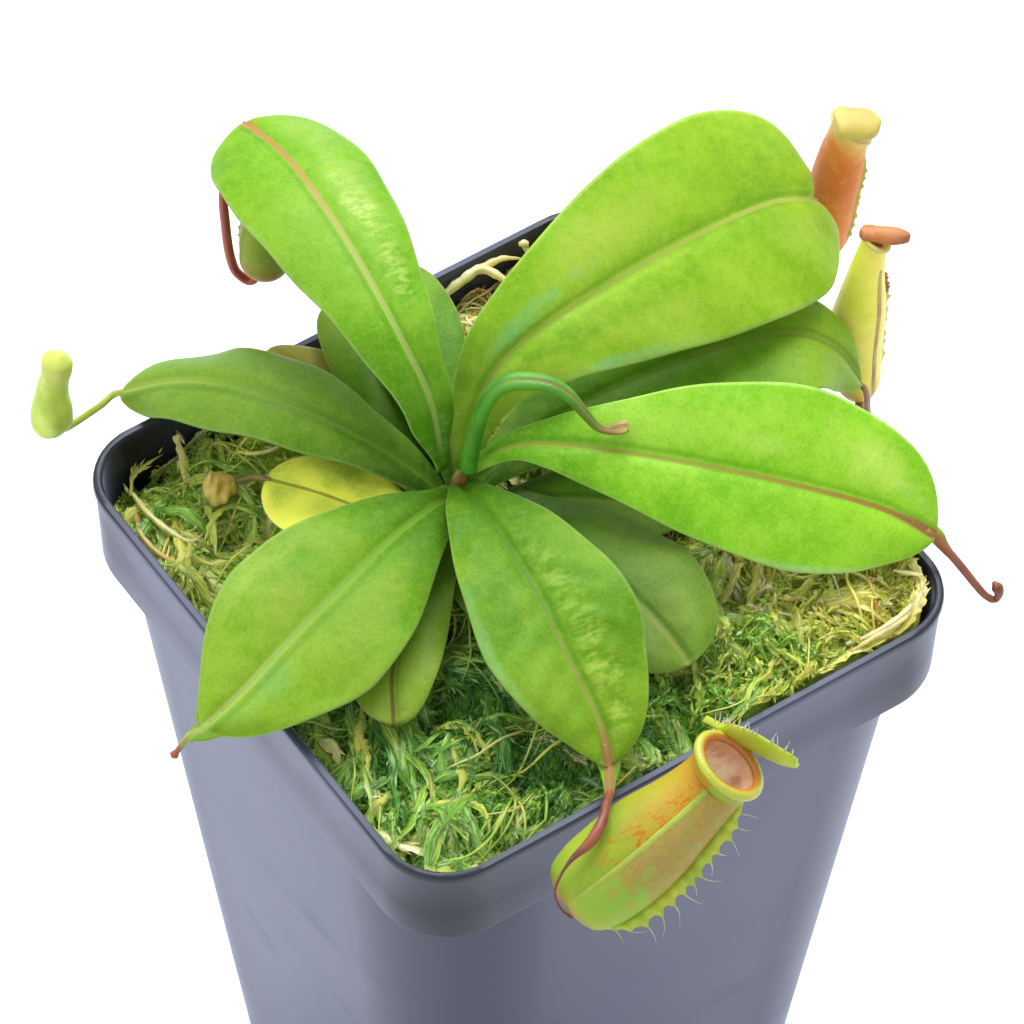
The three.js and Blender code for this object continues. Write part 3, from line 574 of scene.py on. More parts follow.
def mossFinish(name, shine, see=1.0):
    # the uv map has the strand's tone and runs from its root to its tip; lay has its width and length in mm
    f = Finish(name, Subsurface_Weight=0.6, Subsurface_Scale=0.0018, Subsurface_Radius=(0.9, 1.0, 0.35),
               Coat_Weight=0.25, Coat_Roughness=0.2)
    tone = f.uv()[0]
    lanes = f.node("VectorMath", {"operation": "MULTIPLY"}, {0: f.lay(), 1: (3.4, 0.3, 1.0)})
    streak = f.grain(1.0, 4, 0.6, lanes)
    speck, patch = f.grain(1700, 3, 0.6), f.grain(130, 3, 0.5)
    color = f.ramp(tone + (patch - 0.5) * 0.2 + (streak - 0.5) * 0.22, moss["tones"], 1.36)
    color = f.layers(color, (f.within(streak, 0.52, 0.66, 0.55), "e0f0a8"),
                     (f.within(streak, 0.46, 0.3, 0.25), "6a9c3c"),
                     (f.within(speck, 0.56, 0.75, 0.25), tint("f0f4b8", 0.95)))
    # wet strands let some of what lies under them show
    clear = {"Alpha": f.within(streak, 0.38, 0.6, 1.0, see)} if see < 1 else {}
    return f.wear(color, shine + speck * 0.2, streak * 0.7 + speck * 0.3, 0.0003, 0.5, **clear)


def frames(pts):
    tangent = unit(np.gradient(pts, axis=0))
    side = unit(np.cross(tangent, up) + 1e-6)
    return tangent, side, np.cross(side, tangent)


def trail(x, y, heading, length, bend, lift, rng, steps, margin):
    # a path that wanders over the moss and dips back into it
    t = np.linspace(0, 1, steps)
    turn = heading + bend * t + 0.25 * np.sin(2 * np.pi * (t * 1.1 + rng.random()))
    step = length / (steps - 1)
    px, py = [p + np.r_[0, np.cumsum(way(turn[:-1]))] * step for p, way in ((x, np.cos), (y, np.sin))]
    px, py = keepInside(px, py, margin)
    arch = np.sin(np.pi * np.minimum(1, t * rng.uniform(0.75, 1.1)))
    return stacked(px, py, groundAt(px, py) - 0.7 + lift * arch + 0.25 * np.sin(t * 9 + rng.uniform(0, 6)))


def thread(skin, pts, radius, tone, taper=0.6, sides=5):
    _, side, normal = frames(pts)
    t = np.linspace(0, 1, len(pts))
    r = radius * (1 - taper * np.abs(2 * t - 0.8) ** 2.5) * (1 + 0.12 * np.sin(t * 40 + tone * 60))
    r, angle = np.maximum(r, 0.05)[:, None], turns(sides)
    rings = spread(pts, side, normal, r * np.cos(angle), r * np.sin(angle))
    lay = stacked(np.cos(angle) * radius, lengths(pts)[:, None], tone * 90.0)
    skin.loft(rings, np.full(sides + 1, tone), t, "fan", lay)


def ribbon(skin, pts, width, tone, rng):
    # a flat wet strand with a ridge down its middle, ragged edges and pointed leaflets along both sides
    tangent, side, normal = frames(pts)
    n = len(pts)
    t = np.linspace(0, 1, n)
    roll = (rng.uniform(-0.7, 0.7) + rng.uniform(-1.0, 1.0) * t)[:, None]
    swell = np.sin(np.pi * np.clip(t, 0.03, 0.98) ** 0.8)[:, None] ** 0.65
    across = np.array([-1, -0.5, 0, 0.5, 1.0])
    out = width / 2 * swell * across * (1 + 0.42 * rng.uniform(-1, 1, (n, 5)) * np.abs(across))
    rings = spread(pts, side * np.cos(roll) + normal * np.sin(roll),
                   normal * np.cos(roll) - side * np.sin(roll), out,
                   width * 0.18 * swell * (1 - across ** 2))
    lay = stacked(across * width / 2, lengths(pts)[:, None], tone * 90.0)
    skin.loft(rings, np.full(6, tone), t, None, lay, False)
    count = max(6, int(lengths(pts)[-1] / 1.1))
    at, w = rng.integers(0, n - 1, count), rng.random((count, 1))
    turn = rng.choice([-1.0, 1.0], (count, 1)) * rng.uniform(0.15, 0.5, (count, 1))
    root = pts[at] * (1 - w) + pts[at + 1] * w + side[at] * turn * width * 0.8
    skin.leaflets(root, unit(tangent[at] + side[at] * turn),
                  unit(normal[at] + rng.normal(0, 0.3, (count, 3))), rng.uniform(0.9, 2.0, count), 0.14,
                  rng.uniform(0, 0.3, count),
                  np.clip(tone + rng.uniform(-0.05, 0.09, count), 0, 1), rng.uniform(0.3, 1.0, count))


def sprig(skin, pts, width, tone, rng):
    # a stem with leaflets set round it in a spiral
    thread(skin, pts, width * 0.17, tone, 0.3, 4)
    tangent, side, normal = frames(pts)
    count = max(4, int(lengths(pts)[-1] / 0.42))
    s = np.linspace(0.02, 0.98, count)
    index = s * (len(pts) - 1)
    low = index.astype(int).clip(0, len(pts) - 2)
    w = (index - low)[:, None]
    turn = (np.arange(count) * 2.4 + rng.uniform(-0.4, 0.4, count))[:, None]
    size = width * rng.uniform(0.6, 1.05, count) * (1 - 0.4 * s)
    skin.leaflets(pts[low] * (1 - w) + pts[low + 1] * w, tangent[low],
                  side[low] * np.cos(turn) + normal[low] * np.sin(turn), size, 0.3,
                  0.62 * rng.uniform(0.6, 1.3, count), np.clip(tone + rng.uniform(-0.06, 0.06, count), 0, 1),
                  0.35 + 0.65 * s)


def makeMossMat():
    # little stars of leaflets that cover the bed
    rng = np.random.default_rng(5)
    skin = Skin()
    x, y = scatter(rng, moss["stars"], 0.3)
    n, rays = len(x), moss["rays"]
    centre = stacked(x, y, groundAt(x, y) - rng.uniform(0.3, 1.2, n))
    stalk = unit(np.c_[rng.normal(0, 0.55, (n, 2)), np.ones(n)])
    tone = np.clip(toneAt(x, y) + rng.normal(-0.02, 0.07, n), 0, 0.88)
    spin = rng.uniform(0, 2 * np.pi, n)
    across = unit(np.cross(stalk, rng.normal(0, 1, (n, 3))))
    over = np.cross(stalk, across)
    for k in range(rays):
        turn = (spin + 2 * np.pi * k / rays + rng.normal(0, 0.25, n))[:, None]
        out = across * np.cos(turn) + over * np.sin(turn)
        heading = unit(out + stalk * rng.uniform(0.15, 1.3, n)[:, None])
        size = rng.uniform(0.7, 1.6, n)
        tip = centre + heading * (size * 1.1)[:, None]
        tipX, tipY = keepInside(tip[:, 0], tip[:, 1], 0.4)
        root = centre + stacked(tipX - tip[:, 0], tipY - tip[:, 1], rng.uniform(-0.1, 0.3, n))
        skin.leaflets(root, heading, unit(np.cross(heading, out) + 0.3 * rng.normal(0, 1, (n, 3))),
                      size, 0.12, rng.uniform(0.0, 0.3, n), np.clip(tone + rng.normal(0, 0.05, n), 0, 0.9),
                      rng.uniform(0.3, 1.0, n))
    # fine deep green tufts
    for cx, cy, radius, count in moss["tufts"]:
        r, a = radius * np.sqrt(rng.random(count)), rng.uniform(0, 2 * np.pi, count)
        x, y = keepInside(cx + r * np.cos(a), cy + r * np.sin(a), 1.6)
        r = r / radius
        heading = unit(stacked(np.cos(a) * r, np.sin(a) * r, 1.1) + rng.normal(0, 0.35, (count, 3)))
        root = stacked(x, y, groundAt(x, y) - 0.9 + 0.9 * (1 - r ** 2))
        side = unit(np.cross(heading, rng.normal(0, 1, (count, 3))))
        skin.leaflets(root, heading, side, rng.uniform(1.0, 2.1, count), 0.07, rng.uniform(0, 0.2, count),
                      rng.uniform(0.1, 0.24, count), rng.uniform(0.3, 1.0, count))
    return skin


# strands that stand out: kind, width, tone and points
drawn = [
    ("ribbon", 1.3, 0.74, (-28.2, 46, -2.5), (-27.9, 43.5, -3.5), (-28.7, 39.7, -5.5), (-30.5, 35.9, -6.4),
        (-32.7, 33.3, -7)),
    ("thread", 0.45, 0.76, (-37.5, 38.5, -6.4), (-37.9, 34.7, -5.6), (-37.4, 30.4, -5.4),
        (-35.7, 26.6, -5.6), (-32.7, 27.4, -6.5)),
    ("thread", 0.42, 0.94, (-39, 35.3, -7), (-40.4, 31.6, -6.2), (-40.2, 27.2, -6), (-38.5, 23.5, -6),
        (-36.3, 20.2, -6.6)),
    ("thread", 0.3, 0.7, (-22.3, 36, -5), (-20.8, 33.4, -3.8), (-18.2, 32.3, -3.4), (-15.4, 33.4, -4)),
    ("ribbon", 0.9, 0.6, (-37.5, 39, -7.4), (-35.2, 42.2, -6.9), (-32.6, 44.1, -6.2), (-30.3, 45.5, -6)),
    ("ribbon", 1.1, 0.5, (-26.1, 29, -5.9), (-30.7, 28.1, -5), (-33.9, 25.7, -5.8)),
    ("ribbon", 1.1, 0.46, (-30, 33.1, -6), (-31.4, 27.8, -5.2), (-33.8, 23.1, -6)),
    ("ribbon", 0.9, 0.44, (-26, 25.3, -5.4), (-28.6, 22.1, -5.6), (-32.7, 21.3, -6.4)),
    ("spiky", 1, 0.5, (-22.8, 37.9, -6), (-22.2, 33.8, -4.4), (-21.5, 30.6, -5)),
    ("thread", 0.75, 0.84, (15.6, 42.2, -3), (18.9, 41.6, -1.2), (21.9, 41.6, -0.6), (23.6, 39.2, -1),
        (25.4, 36.2, -2.6)),
    ("thread", 0.6, 0.88, (17.2, 45.6, -2.6), (20.3, 44.2, -1.2), (24.2, 42.6, -0.8), (28.7, 40.5, -1.6)),
    ("thread", 0.55, 0.84, (28.7, 44.8, 0.2), (29.7, 43.1, -0.3), (29.5, 40.4, -2)),
    ("thread", 0.45, 0.8, (15.2, 36.6, -4), (17.8, 35.4, -2.4), (19.4, 32.8, -2.8)),
    ("thread", 0.4, 0.82, (26.2, -40.4, -0.5), (31.2, -41.3, 0.4), (36.1, -40.8, 0.9), (40.4, -38.8, 0.9),
        (42.9, -36.8, 0.4)),
    ("thread", 0.28, 0.84, (38.4, -34.2, 0.6), (40.2, -36.8, 1.3), (42.5, -38.9, 1)),
    ("thread", 0.36, 0.86, (26, -42, -0.2), (30.8, -42.9, 0.3), (36.2, -42.3, 0.7), (39.7, -40.4, 0.5)),
    ("ribbon", 1.6, 0.6, (20, -43.2, -1.4), (26, -43.4, -1), (32, -43, -0.8), (37.4, -41.8, -0.8)),
    ("ribbon", 1.8, 0.66, (30, -43.4, -1.2), (36, -42.6, -0.6), (40.6, -39.6, -0.6), (42.8, -35, -1)),
    ("ribbon", 1.5, 0.72, (37, -42, -1.2), (41.6, -38.2, -0.4), (43.2, -32, -0.6), (43.4, -24, -1)),
    ("ribbon", 1.3, 0.62, (-35.8, -32.3, -6), (-37.3, -36.5, -5.4), (-36.7, -37.9, -5.8)),
    ("ribbon", 2, 0.6, (-32.1, -10.7, -5.5), (-35.6, -15.4, -4.2), (-37, -19.1, -4.4), (-39.6, -22.4, -5.2)),
    ("ribbon", 1.6, 0.76, (-39.3, -11, -5.6), (-39, -14, -4.6), (-39.6, -16.8, -5)),
    ("thread", 0.6, 0.72, (-22.5, -32.7, -5), (-24.1, -36.3, -4), (-26.4, -39.5, -4.4),
        (-28.6, -40.7, -5.4)),
    ("thread", 0.4, 0.7, (-26.2, -40.4, -4.4), (-24.6, -41.1, -3), (-22.5, -41.5, -2.6)),
    ("ribbon", 2, 0.8, (-41.7, -27.8, -5.6), (-40.7, -31.8, -4.8), (-38.4, -34.4, -5), (-37.1, -37.1, -6)),
    ("ribbon", 1.7, 0.52, (-25.7, -23, -4.6), (-27.5, -28.2, -3.6), (-29.6, -30.3, -4.2)),
    ("ribbon", 1.4, 0.5, (-26.7, -19.1, -4.8), (-23.7, -20.6, -3.4), (-22.9, -24.2, -3.6),
        (-23.2, -28.3, -4.6)),
    ("ribbon", 1.3, 0.58, (-34.7, -30, -5.4), (-30.9, -30.2, -4.2), (-27, -31.6, -4.6)),
    ("ribbon", 1.2, 0.54, (-29.4, -32.7, -5.4), (-29, -35.4, -4.2), (-30.1, -38.5, -5.4)),
    ("thread", 0.22, 0.95, (-30.6, -25, -4.8), (-32.2, -27.8, -4.2), (-34.5, -30.1, -5)),
    ("spiky", 2, 0.5, (17.2, -33.6, -1.6), (18.3, -37.4, 0.2), (19.2, -40.7, 0.2), (19, -43.4, 0.2)),
    ("spiky", 2.2, 0.56, (6.5, -39.5, -1.5), (10.2, -39.5, 0.2), (14.1, -39.3, 0.8), (15.4, -38.4, 1)),
    ("spiky", 1.6, 0.6, (10.9, -43.2, 0.2), (13.4, -42.9, 0.9), (14.6, -42.3, 1.4)),
    ("spiky", 1.5, 0.8, (17.2, -28, -2), (20.4, -29.8, -0.4), (22.7, -32.3, 0)),
    ("spiky", 1.7, 0.72, (23.2, -24.6, -1.8), (23.1, -28.3, 0), (21.1, -29.8, 0.2), (18.6, -27.6, -0.6)),
    ("spiky", 1.5, 0.7, (25.7, -23.4, -1.6), (26.5, -26.9, 0), (27.9, -27.3, 0.6)),
    ("spiky", 1.9, 0.6, (16.7, -42.6, 0), (18.6, -42.4, 1), (20.1, -41, 1.1)),
    ("spiky", 1.6, 0.8, (-17, -28.6, -3.6), (-14.8, -32.4, -2.2), (-13.2, -37.2, -1.8), (-11.4, -39.7, -2)),
    ("spiky", 1.4, 0.84, (-14.2, -29.7, -3.4), (-13.7, -34.3, -2.2), (-11, -37.8, -1.8)),
]

# loose strands: count of bundles and strands in each, length, width, lift over the bed, change of tone,
# how near the wall they may lie, where they are thick and how much the moss shows through them
loose = {
    "mossRibbons": {
        "kind": "ribbon", "seed": 11, "bundles": 150, "each": 5, "length": (11, 26), "width": (0.9, 2.3),
        "lift": (0.2, 1.3), "bend": 0.9, "shift": (0.05, 0.09), "margin": 0.8, "see": 0.5,
        "flow": (-1.8, 0.75),
        "where": lambda x, y: np.clip(0.75 - (x - y) / 110 - (x + y) / 220, 0.12, 1),
    },
    "mossSprigs": {
        "kind": "spiky", "seed": 23, "bundles": 330, "each": 3, "length": (3, 9), "width": (0.9, 1.9),
        "lift": (0.3, 1.7), "bend": 1.2, "shift": (0.05, 0.08), "margin": 0.8, "see": 1.0,
        "where": lambda x, y: np.clip(0.5 + (x - y) / 90, 0.15, 1),
    },
    "mossThreads": {
        "kind": "thread", "seed": 41, "bundles": 150, "each": 3, "length": (10, 30), "width": (0.09, 0.24),
        "lift": (0.8, 2.2), "bend": 2.4, "shift": (0.2, 0.12), "margin": 0.9, "see": 1.0,
        "where": lambda x, y: np.clip(0.4 + (x + y) / 110, 0.2, 1),
    },
}


def makeStrand(skin, kind, pts, width, tone, rng):
    if kind == "thread":
        thread(skin, pts, width, tone)
    else:
        (ribbon if kind == "ribbon" else sprig)(skin, pts, width, tone, rng)


def placeMoss(skin, name, *look):
    piece = place(skin.build(name), "moss", mossFinish(name + "Finish", *look))
    print(name, len(piece.data.polygons), "faces")


def makeMossStrands():
    placeMoss(makeMossMat(), "mossMat", 0.5)
    for name, kind in loose.items():
        rng = np.random.default_rng(kind["seed"])
        skin = Skin()
        x, y = scatter(rng, kind["bundles"] * 5, kind["margin"] + 0.6)
        for i in np.nonzero(rng.random(len(x)) < kind["where"](x, y))[0][:kind["bundles"]]:
            heading = rng.normal(*kind["flow"]) if "flow" in kind else rng.uniform(0, 2 * np.pi)
            bend = rng.uniform(-1, 1) * kind["bend"]
            length, apart = rng.uniform(*kind["length"]), rng.uniform(0.6, 2.2)
            for _ in range(kind["each"]):
                px, py = x[i] + rng.normal(0, apart), y[i] + rng.normal(0, apart)
                tone = float(np.clip(toneAt(px, py) + rng.normal(*kind["shift"]), 0.02, 0.97))
                own = length * rng.uniform(0.6, 1.1)
                pts = trail(px, py, heading + rng.normal(0, 0.16), own, bend + rng.normal(0, 0.2),
                            rng.uniform(*kind["lift"]), rng, max(9, int(own)), kind["margin"])
                makeStrand(skin, kind["kind"], pts, rng.uniform(*kind["width"]), tone, rng)
        placeMoss(skin, name, 0.34, kind["see"])
    rng = np.random.default_rng(77)
    skin = Skin()
    for kind, width, tone, *points in drawn:
        path = Path(overRim(points))
        x, y, z = path.at(np.linspace(0, 1, max(10, int(path.length * 1.6)))).T
        x, y = keepInside(x, y, 0.8)
        makeStrand(skin, kind, stacked(x, y, np.maximum(z, groundAt(x, y) - 0.3) + 0.3), width, tone, rng)
    placeMoss(skin, "mossDrawn", 0.34, 0.7)


# stem

stem = {
    "x": -4, "y": 8, "rootRadius": 3.4,
    # radius and height over the rim, from the root to the tip
    "rows": [(2.4, -29.6), (3.4, -26.6), (3.4, -4), (2.7, -1), (2.45, 1.2), (2.2, 2.4), (1.6, 3.6),
             (1.3, 4.8), (1, 6.2), (0.4, 7.4)],
    "colors": [(0.38, "6a3c20"), (0.48, "7a6a28"), (0.62, "6c9c2c")],
}


def makeStem():
    angle = turns(28)
    rings = []
    for r, z in stem["rows"]:
        bumpy = r * (1 + 0.05 * np.sin(3 * angle + z))
        rings.append(stacked(stem["x"] + bumpy * np.cos(angle),
                             stem["y"] + bumpy * np.sin(angle), rimHeight + z))
    skin = Skin()
    skin.loft(np.array(rings), np.linspace(0, 1, 29), np.linspace(0, 1, len(rings)))
    f = Finish("stemSkin", Roughness=0.7, Subsurface_Weight=0.1)
    big = f.grain(300, 4, 0.6, stretch=(1, 1, 0.3))
    place(skin.build("stemSkin"), "stem",
          f.wear(f.ramp(big, stem["colors"]), None, big, 0.0004, 0.6))


# leaves

leafShape = {
    "rib": 0.5, "keel": 0.7, "waveHeight": 0.35, "wavePerMm": 0.42, "veinPitch": 5.2, "bigFrom": 40,
    # rows, columns and pillow height
    "big": (92, 30, 0.5), "small": (56, 20, 0.3),
}

# what a leaf has unless its own entry says otherwise. Rib: colour near the stem and near the tip, half width,
# strength. Marks: colour, place along and across, reach along and across, strength, and whether broken into
# flecks. The bluish-green marks are painted reflection; the pale yellow-green ones are partly painted
# highlight, partly the leaf's own lighter patches; the rest are its own patches
usualLeaf = {
    "slot": "leaf_bright", "look": "bright", "gain": 1, "neck": 0.2, "swell": 1.2, "widest": 0.62,
    "blunt": 2, "lean": 0, "bank": 0, "cup": 0, "root": 0.15, "tipHalf": 0.5, "quilt": 0.04, "lobes": (0, 0),
    "browned": (0.86, 0.97), "rib": ("8aa844", "a4b058", 0.45, 0.6), "marks": [],
}

# from: degrees round the stem and height where a leaf leaves it
leaves = {
    "leaf_back_left": {
        "from": (115, 8.4),
        "through": [(-5.6, 13, 19.5), (-6, 19, 25.6), (-5, 30, 29), (-3.4, 43, 29.2), (-2, 54, 27),
            (-1.5, 65, 23)],
        "half": 10.3, "neck": 0.3, "swell": 2, "widest": 0.76, "blunt": 2.8, "cup": -0.21, "gain": 0.86,
        "root": 0.7, "foot": [(-5.3, 9.6, 7), (-5.4, 10.4, 10.5)], "rib": ("b4cc6a", "c88a58", 0.55, 0.85),
        "marks": [("8cd08c", 0.09, -0.35, 0.07, 0.4, 0.4, True),
            ("8cd08c", 0.04, 0.55, 0.05, 0.4, 0.4, True), ("dcea8c", 0.72, -0.5, 0.14, 0.35, 0.5),
            ("dcea8c", 0.9, -0.5, 0.07, 0.4, 0.4), ("dcf080", 0.5, -0.5, 0.16, 0.3, 0.5, True),
            ("dcf080", 0.68, -0.45, 0.2, 0.25, 0.5, True), ("7cbc28", 0.86, 0.1, 0.14, 1.2, 0.5),
            ("6fb022", 0.75, 0.5, 0.25, 0.5, 0.35), ("c27a4c", 1, 0, 0.05, 0.25, 0.7)],
    },
    "leaf_back_right": {
        "from": (22, 6.8),
        "through": [(1.5, 11.6, 14.5), (5.5, 12.3, 19.5), (12.5, 12.6, 22.4), (27, 14, 22.6), (42, 16, 20.3),
            (54.5, 18, 16), (62, 18.8, 11)],
        "half": 15.4, "neck": 0.13, "swell": 1.45, "widest": 0.78, "blunt": 2.5, "bank": 28,
        "lobes": (3.5, 1.6), "look": "gold", "quilt": 0.05, "pillow": 0.7, "tipHalf": 5,
        "rib": ("a4bc50", "ccd06c", 0.48, 0.7),
        "marks": [("84d08c", 0.29, 0.3, 0.1, 0.18, 0.5), ("84d08c", 0.4, 0.3, 0.08, 0.14, 0.6, True),
            ("98d090", 0.42, -0.92, 0.16, 0.1, 0.55), ("ccd860", 0.5, 0.5, 0.16, 0.4, 0.5),
            ("5f9c20", 0.4, -0.35, 0.2, 0.25, 0.5), ("84bc2c", 0.92, 0.4, 0.12, 0.8, 0.6),
            ("74b024", 0.6, 0.12, 0.3, 0.1, 0.4), ("c4dc58", 0.9, -0.35, 0.1, 0.3, 0.35),
            ("c0d658", 0.52, -0.6, 0.12, 0.2, 0.35), ("74b42a", 0.8, -0.15, 0.14, 0.2, 0.35)],
    },
    "leaf_right": {
        "from": (-22, 8.2),
        "through": [(3, 5, 11.4), (7, 1.5, 12.6), (11.7, -3.3, 13.3), (21.5, -12.7, 12.9),
            (31.3, -21.8, 11.1), (40.2, -29.2, 7.5), (45.1, -34.4, 4)],
        "half": 12.8, "lean": 0.08, "neck": 0.12, "swell": 1.75, "widest": 0.7, "blunt": 1.75, "bank": 24,
        "gain": 1.15, "spur": 1.6,
        "tendril": [(46.2, -36.3, 1.5), (47.4, -38, -1), (48.5, -39.7, -3.5), (49.4, -41, -5.2),
            (50.2, -42, -5.6), (50.8, -42, -4.4), (50.6, -41, -3)],
        "tendrilRadius": 0.65, "tendrilColors": ("a8603c", "7c4430"), "rib": ("a8b44a", "b07c48", 0.5, 0.85),
        "marks": [("98dc88", 0.92, 0.38, 0.05, 0.2, 0.6, True), ("b4ee3c", 0.85, 0.2, 0.25, 0.8, 0.5),
            ("d6f070", 0.83, 0.5, 0.12, 0.35, 0.6), ("ccec64", 0.4, 0.45, 0.16, 0.3, 0.35),
            ("74b81e", 0.62, -0.25, 0.2, 0.3, 0.35), ("b0e098", 0.78, -0.97, 0.2, 0.06, 0.6),
            ("d8ee78", 0.6, 0.35, 0.08, 0.15, 0.45)],
    },
    "leaf_front": {
        "from": (-100, 6.2),
        "through": [(-5.8, 1, 9.2), (-7.3, -7.8, 11), (-8.8, -18, 11.5), (-10.6, -28, 9.6),
            (-11.4, -36.4, 5.7), (-13.1, -41.4, 3)],
        "half": 11.2, "lean": 0.06, "neck": 0.22, "widest": 0.64, "blunt": 1.5, "cup": 0.06, "look": "deep",
        "gain": 0.8, "quilt": 0.14, "pillow": 0.7, "spur": 1.5, "rib": ("5f8c24", "b4b45c", 0.45, 0.7),
        "marks": [("cce468", 0.62, 0.3, 0.28, 0.26, 0.6, True), ("c4e05c", 0.84, 0.35, 0.16, 0.4, 0.5, True),
            ("cce468", 0.42, 0.26, 0.14, 0.2, 0.45, True), ("a4d48c", 0.62, -0.93, 0.25, 0.1, 0.55),
            ("5c9418", 0.42, -0.2, 0.32, 0.9, 0.8), ("a4d048", 0.75, -0.5, 0.14, 0.3, 0.4)],
    },
    "leaf_front_left": {
        "from": (-152, 4.4),
        "through": [(-10.7, 5.2, 7), (-19.7, 2.3, 8.8), (-29.8, -1.2, 9), (-39.7, -4, 7.7),
            (-48.7, -6.2, 5.4), (-54.6, -6.8, 3.4)],
        "half": 12.6, "neck": 0.18, "swell": 1.4, "widest": 0.63, "blunt": 1.46, "bank": -10, "look": "deep",
        "gain": 0.87, "pillow": 0.7, "spur": 3.3, "browned": (1.2, 1.3),
        "tendril": [(-56.6, -5.8, 1.6), (-57.9, -5.7, 0), (-58.9, -5.7, -1)], "tendrilRadius": 0.5,
        "tendrilColors": ("c0c454", "a8a848"), "tendrilTip": "b0623c", "rib": ("88b43c", "b8d070", 0.7, 0.7),
        "marks": [("84c888", 0.8, 0.26, 0.12, 0.24, 0.3), ("98cc7c", 0.92, 0.3, 0.08, 0.4, 0.25),
            ("c0dc60", 0.62, -0.85, 0.25, 0.14, 0.5), ("a8bc48", 0.5, 0.5, 0.2, 0.3, 0.4),
            ("76a82c", 0.3, -0.3, 0.2, 0.4, 0.35), ("c4dc5c", 0.7, 0.9, 0.2, 0.12, 0.35),
            ("a8b848", 0.62, -0.3, 0.12, 0.3, 0.4), ("5f9820", 0.45, -0.9, 0.4, 0.14, 0.4)],
    },
    "leaf_left": {
        "from": (150, 2),
        "through": [(-9, 14.2, 7), (-14.2, 20.4, 11.6), (-20.2, 29.5, 12.8), (-25, 38.7, 9.6),
            (-28.6, 46, 4), (-31.8, 50.2, 0)],
        "half": 7.4, "lean": -0.1, "neck": 0.24, "widest": 0.6, "bank": -5, "cup": -0.26,
        "slot": "leaf_dark", "look": "dark", "rib": ("6a9428", "a4bc50", 0.8, 0.65),
        "marks": [("8cb86c", 0.6, -0.5, 0.25, 0.3, 0.45), ("98b048", 0.45, 0.15, 0.18, 0.2, 0.4),
            ("78a84c", 0.75, 0.6, 0.2, 0.3, 0.35)],
    },
    "leaf_right_low": {
        "from": (-4, 3),
        "through": [(7.4, 9, 5), (18.6, 8.6, 7.2), (31.2, 7, 8), (41.6, 5, 7.8), (49.3, 2.6, 6),
            (53.6, 0.4, 2), (56.2, -2.1, -4)],
        "half": 12, "lean": -0.05, "neck": 0.17, "swell": 1.4, "widest": 0.58, "blunt": 1.6,
        "slot": "leaf_dark", "look": "shade", "gain": 1.45, "rib": ("7a9434", "8a9440", 0.5, 0.55),
        "marks": [("88b030", 0.82, -0.3, 0.12, 0.4, 0.5)],
    },
    "leaf_front_low": {
        "from": (-66, 0.6),
        "through": [(0.2, 3.4, 2.4), (1.8, -3, 4), (2.9, -12, 5.4), (3.8, -21, 6), (4.6, -28.6, 5.2),
            (4.8, -34, 4)],
        "half": 10.8, "neck": 0.17, "swell": 1.4, "widest": 0.7, "slot": "leaf_dark", "look": "dark",
        "gain": 0.7, "rib": ("7a9c34", "a0a850", 0.5, 0.5),
        "marks": [("94b83c", 0.85, 0.5, 0.1, 0.25, 0.4), ("4f8418", 0.4, 0.4, 0.25, 0.5, 0.4)],
    },
    "leaf_middle_low": {
        "from": (-36, -1.4), "through": [(3, 3.2, 0.8), (8, -0.8, 2.2), (14, -6.2, 2.6), (19.6, -11.4, 2)],
        "half": 6.6, "neck": 0.24, "swell": 1.3, "slot": "leaf_dark", "look": "dark",
    },
    "leaf_under_left": {
        "from": (-138, 0),
        "through": [(-10, 3.4, 2), (-16, -0.8, 2.6), (-22, -6, 2.5), (-28, -12, 2), (-32, -18.3, 0.4)],
        "half": 6.2, "neck": 0.3, "swell": 1, "widest": 0.7, "look": "under",
        "rib": ("7a9c34", "6a3a24", 0.35, 0.7), "marks": [("7c6a30", 0.94, 0.1, 0.05, 0.6, 0.4)],
    },
    "leaf_yellow": {
        "from": (178, -1), "through": [(-11.2, 10, 0), (-15, 14.2, 0.3), (-18.8, 20.2, 0.2), (-23, 27, -1)],
        # gain 2.15 lifts its colours past their own: painted light for a leaf that lies in the shade of the
        # leaves above
        "half": 7.6, "lean": 0.06, "widest": 0.6, "slot": "leaf_yellow", "look": "yellow", "gain": 2.15,
        "rib": ("8a8c30", "9a8c40", 0.35, 0.7),
        "marks": [("94c83c", 0.62, -0.65, 0.34, 0.5, 0.8), ("98cc44", 0.9, 0, 0.16, 0.9, 0.7),
            ("ecc838", 0.3, 0.6, 0.3, 0.4, 0.6), ("9ccc44", 0.6, 0.3, 0.12, 0.3, 0.5)],
    },
    "leaf_small": {
        "from": (-96, -1.6), "through": [(-6.6, 0, -0.5), (-8.8, -5, -0.2), (-11, -10, -0.8)], "half": 4.4,
        "neck": 0.34, "swell": 1, "widest": 0.6, "look": "under",
    },
    "leaf_back_narrow": {
        "from": (60, 3), "through": [(-0.2, 17, 7.4), (2.8, 26, 9.4), (6.6, 35, 9), (10.4, 42.6, 6.6)],
        "half": 5.6, "neck": 0.34, "slot": "leaf_dark", "look": "dark",
    },
    "leaf_back_dark": {
        "from": (92, 1.6), "through": [(-3.6, 19, 4.4), (-3, 28, 6.2), (-1, 38, 5.6), (1, 46, 3.2)],
        "half": 6.1, "slot": "leaf_dark", "look": "shade",
    },
    "leaf_back_old": {
        "from": (122, -0.8),
        "through": [(-7.2, 18, 2.5), (-8.4, 26, 3.8), (-10.4, 35, 4.2), (-12.2, 43, 3.4)], "half": 5.8,
        "lean": 0.04, "neck": 0.26, "widest": 0.66, "slot": "leaf_old", "look": "old",
    },
}

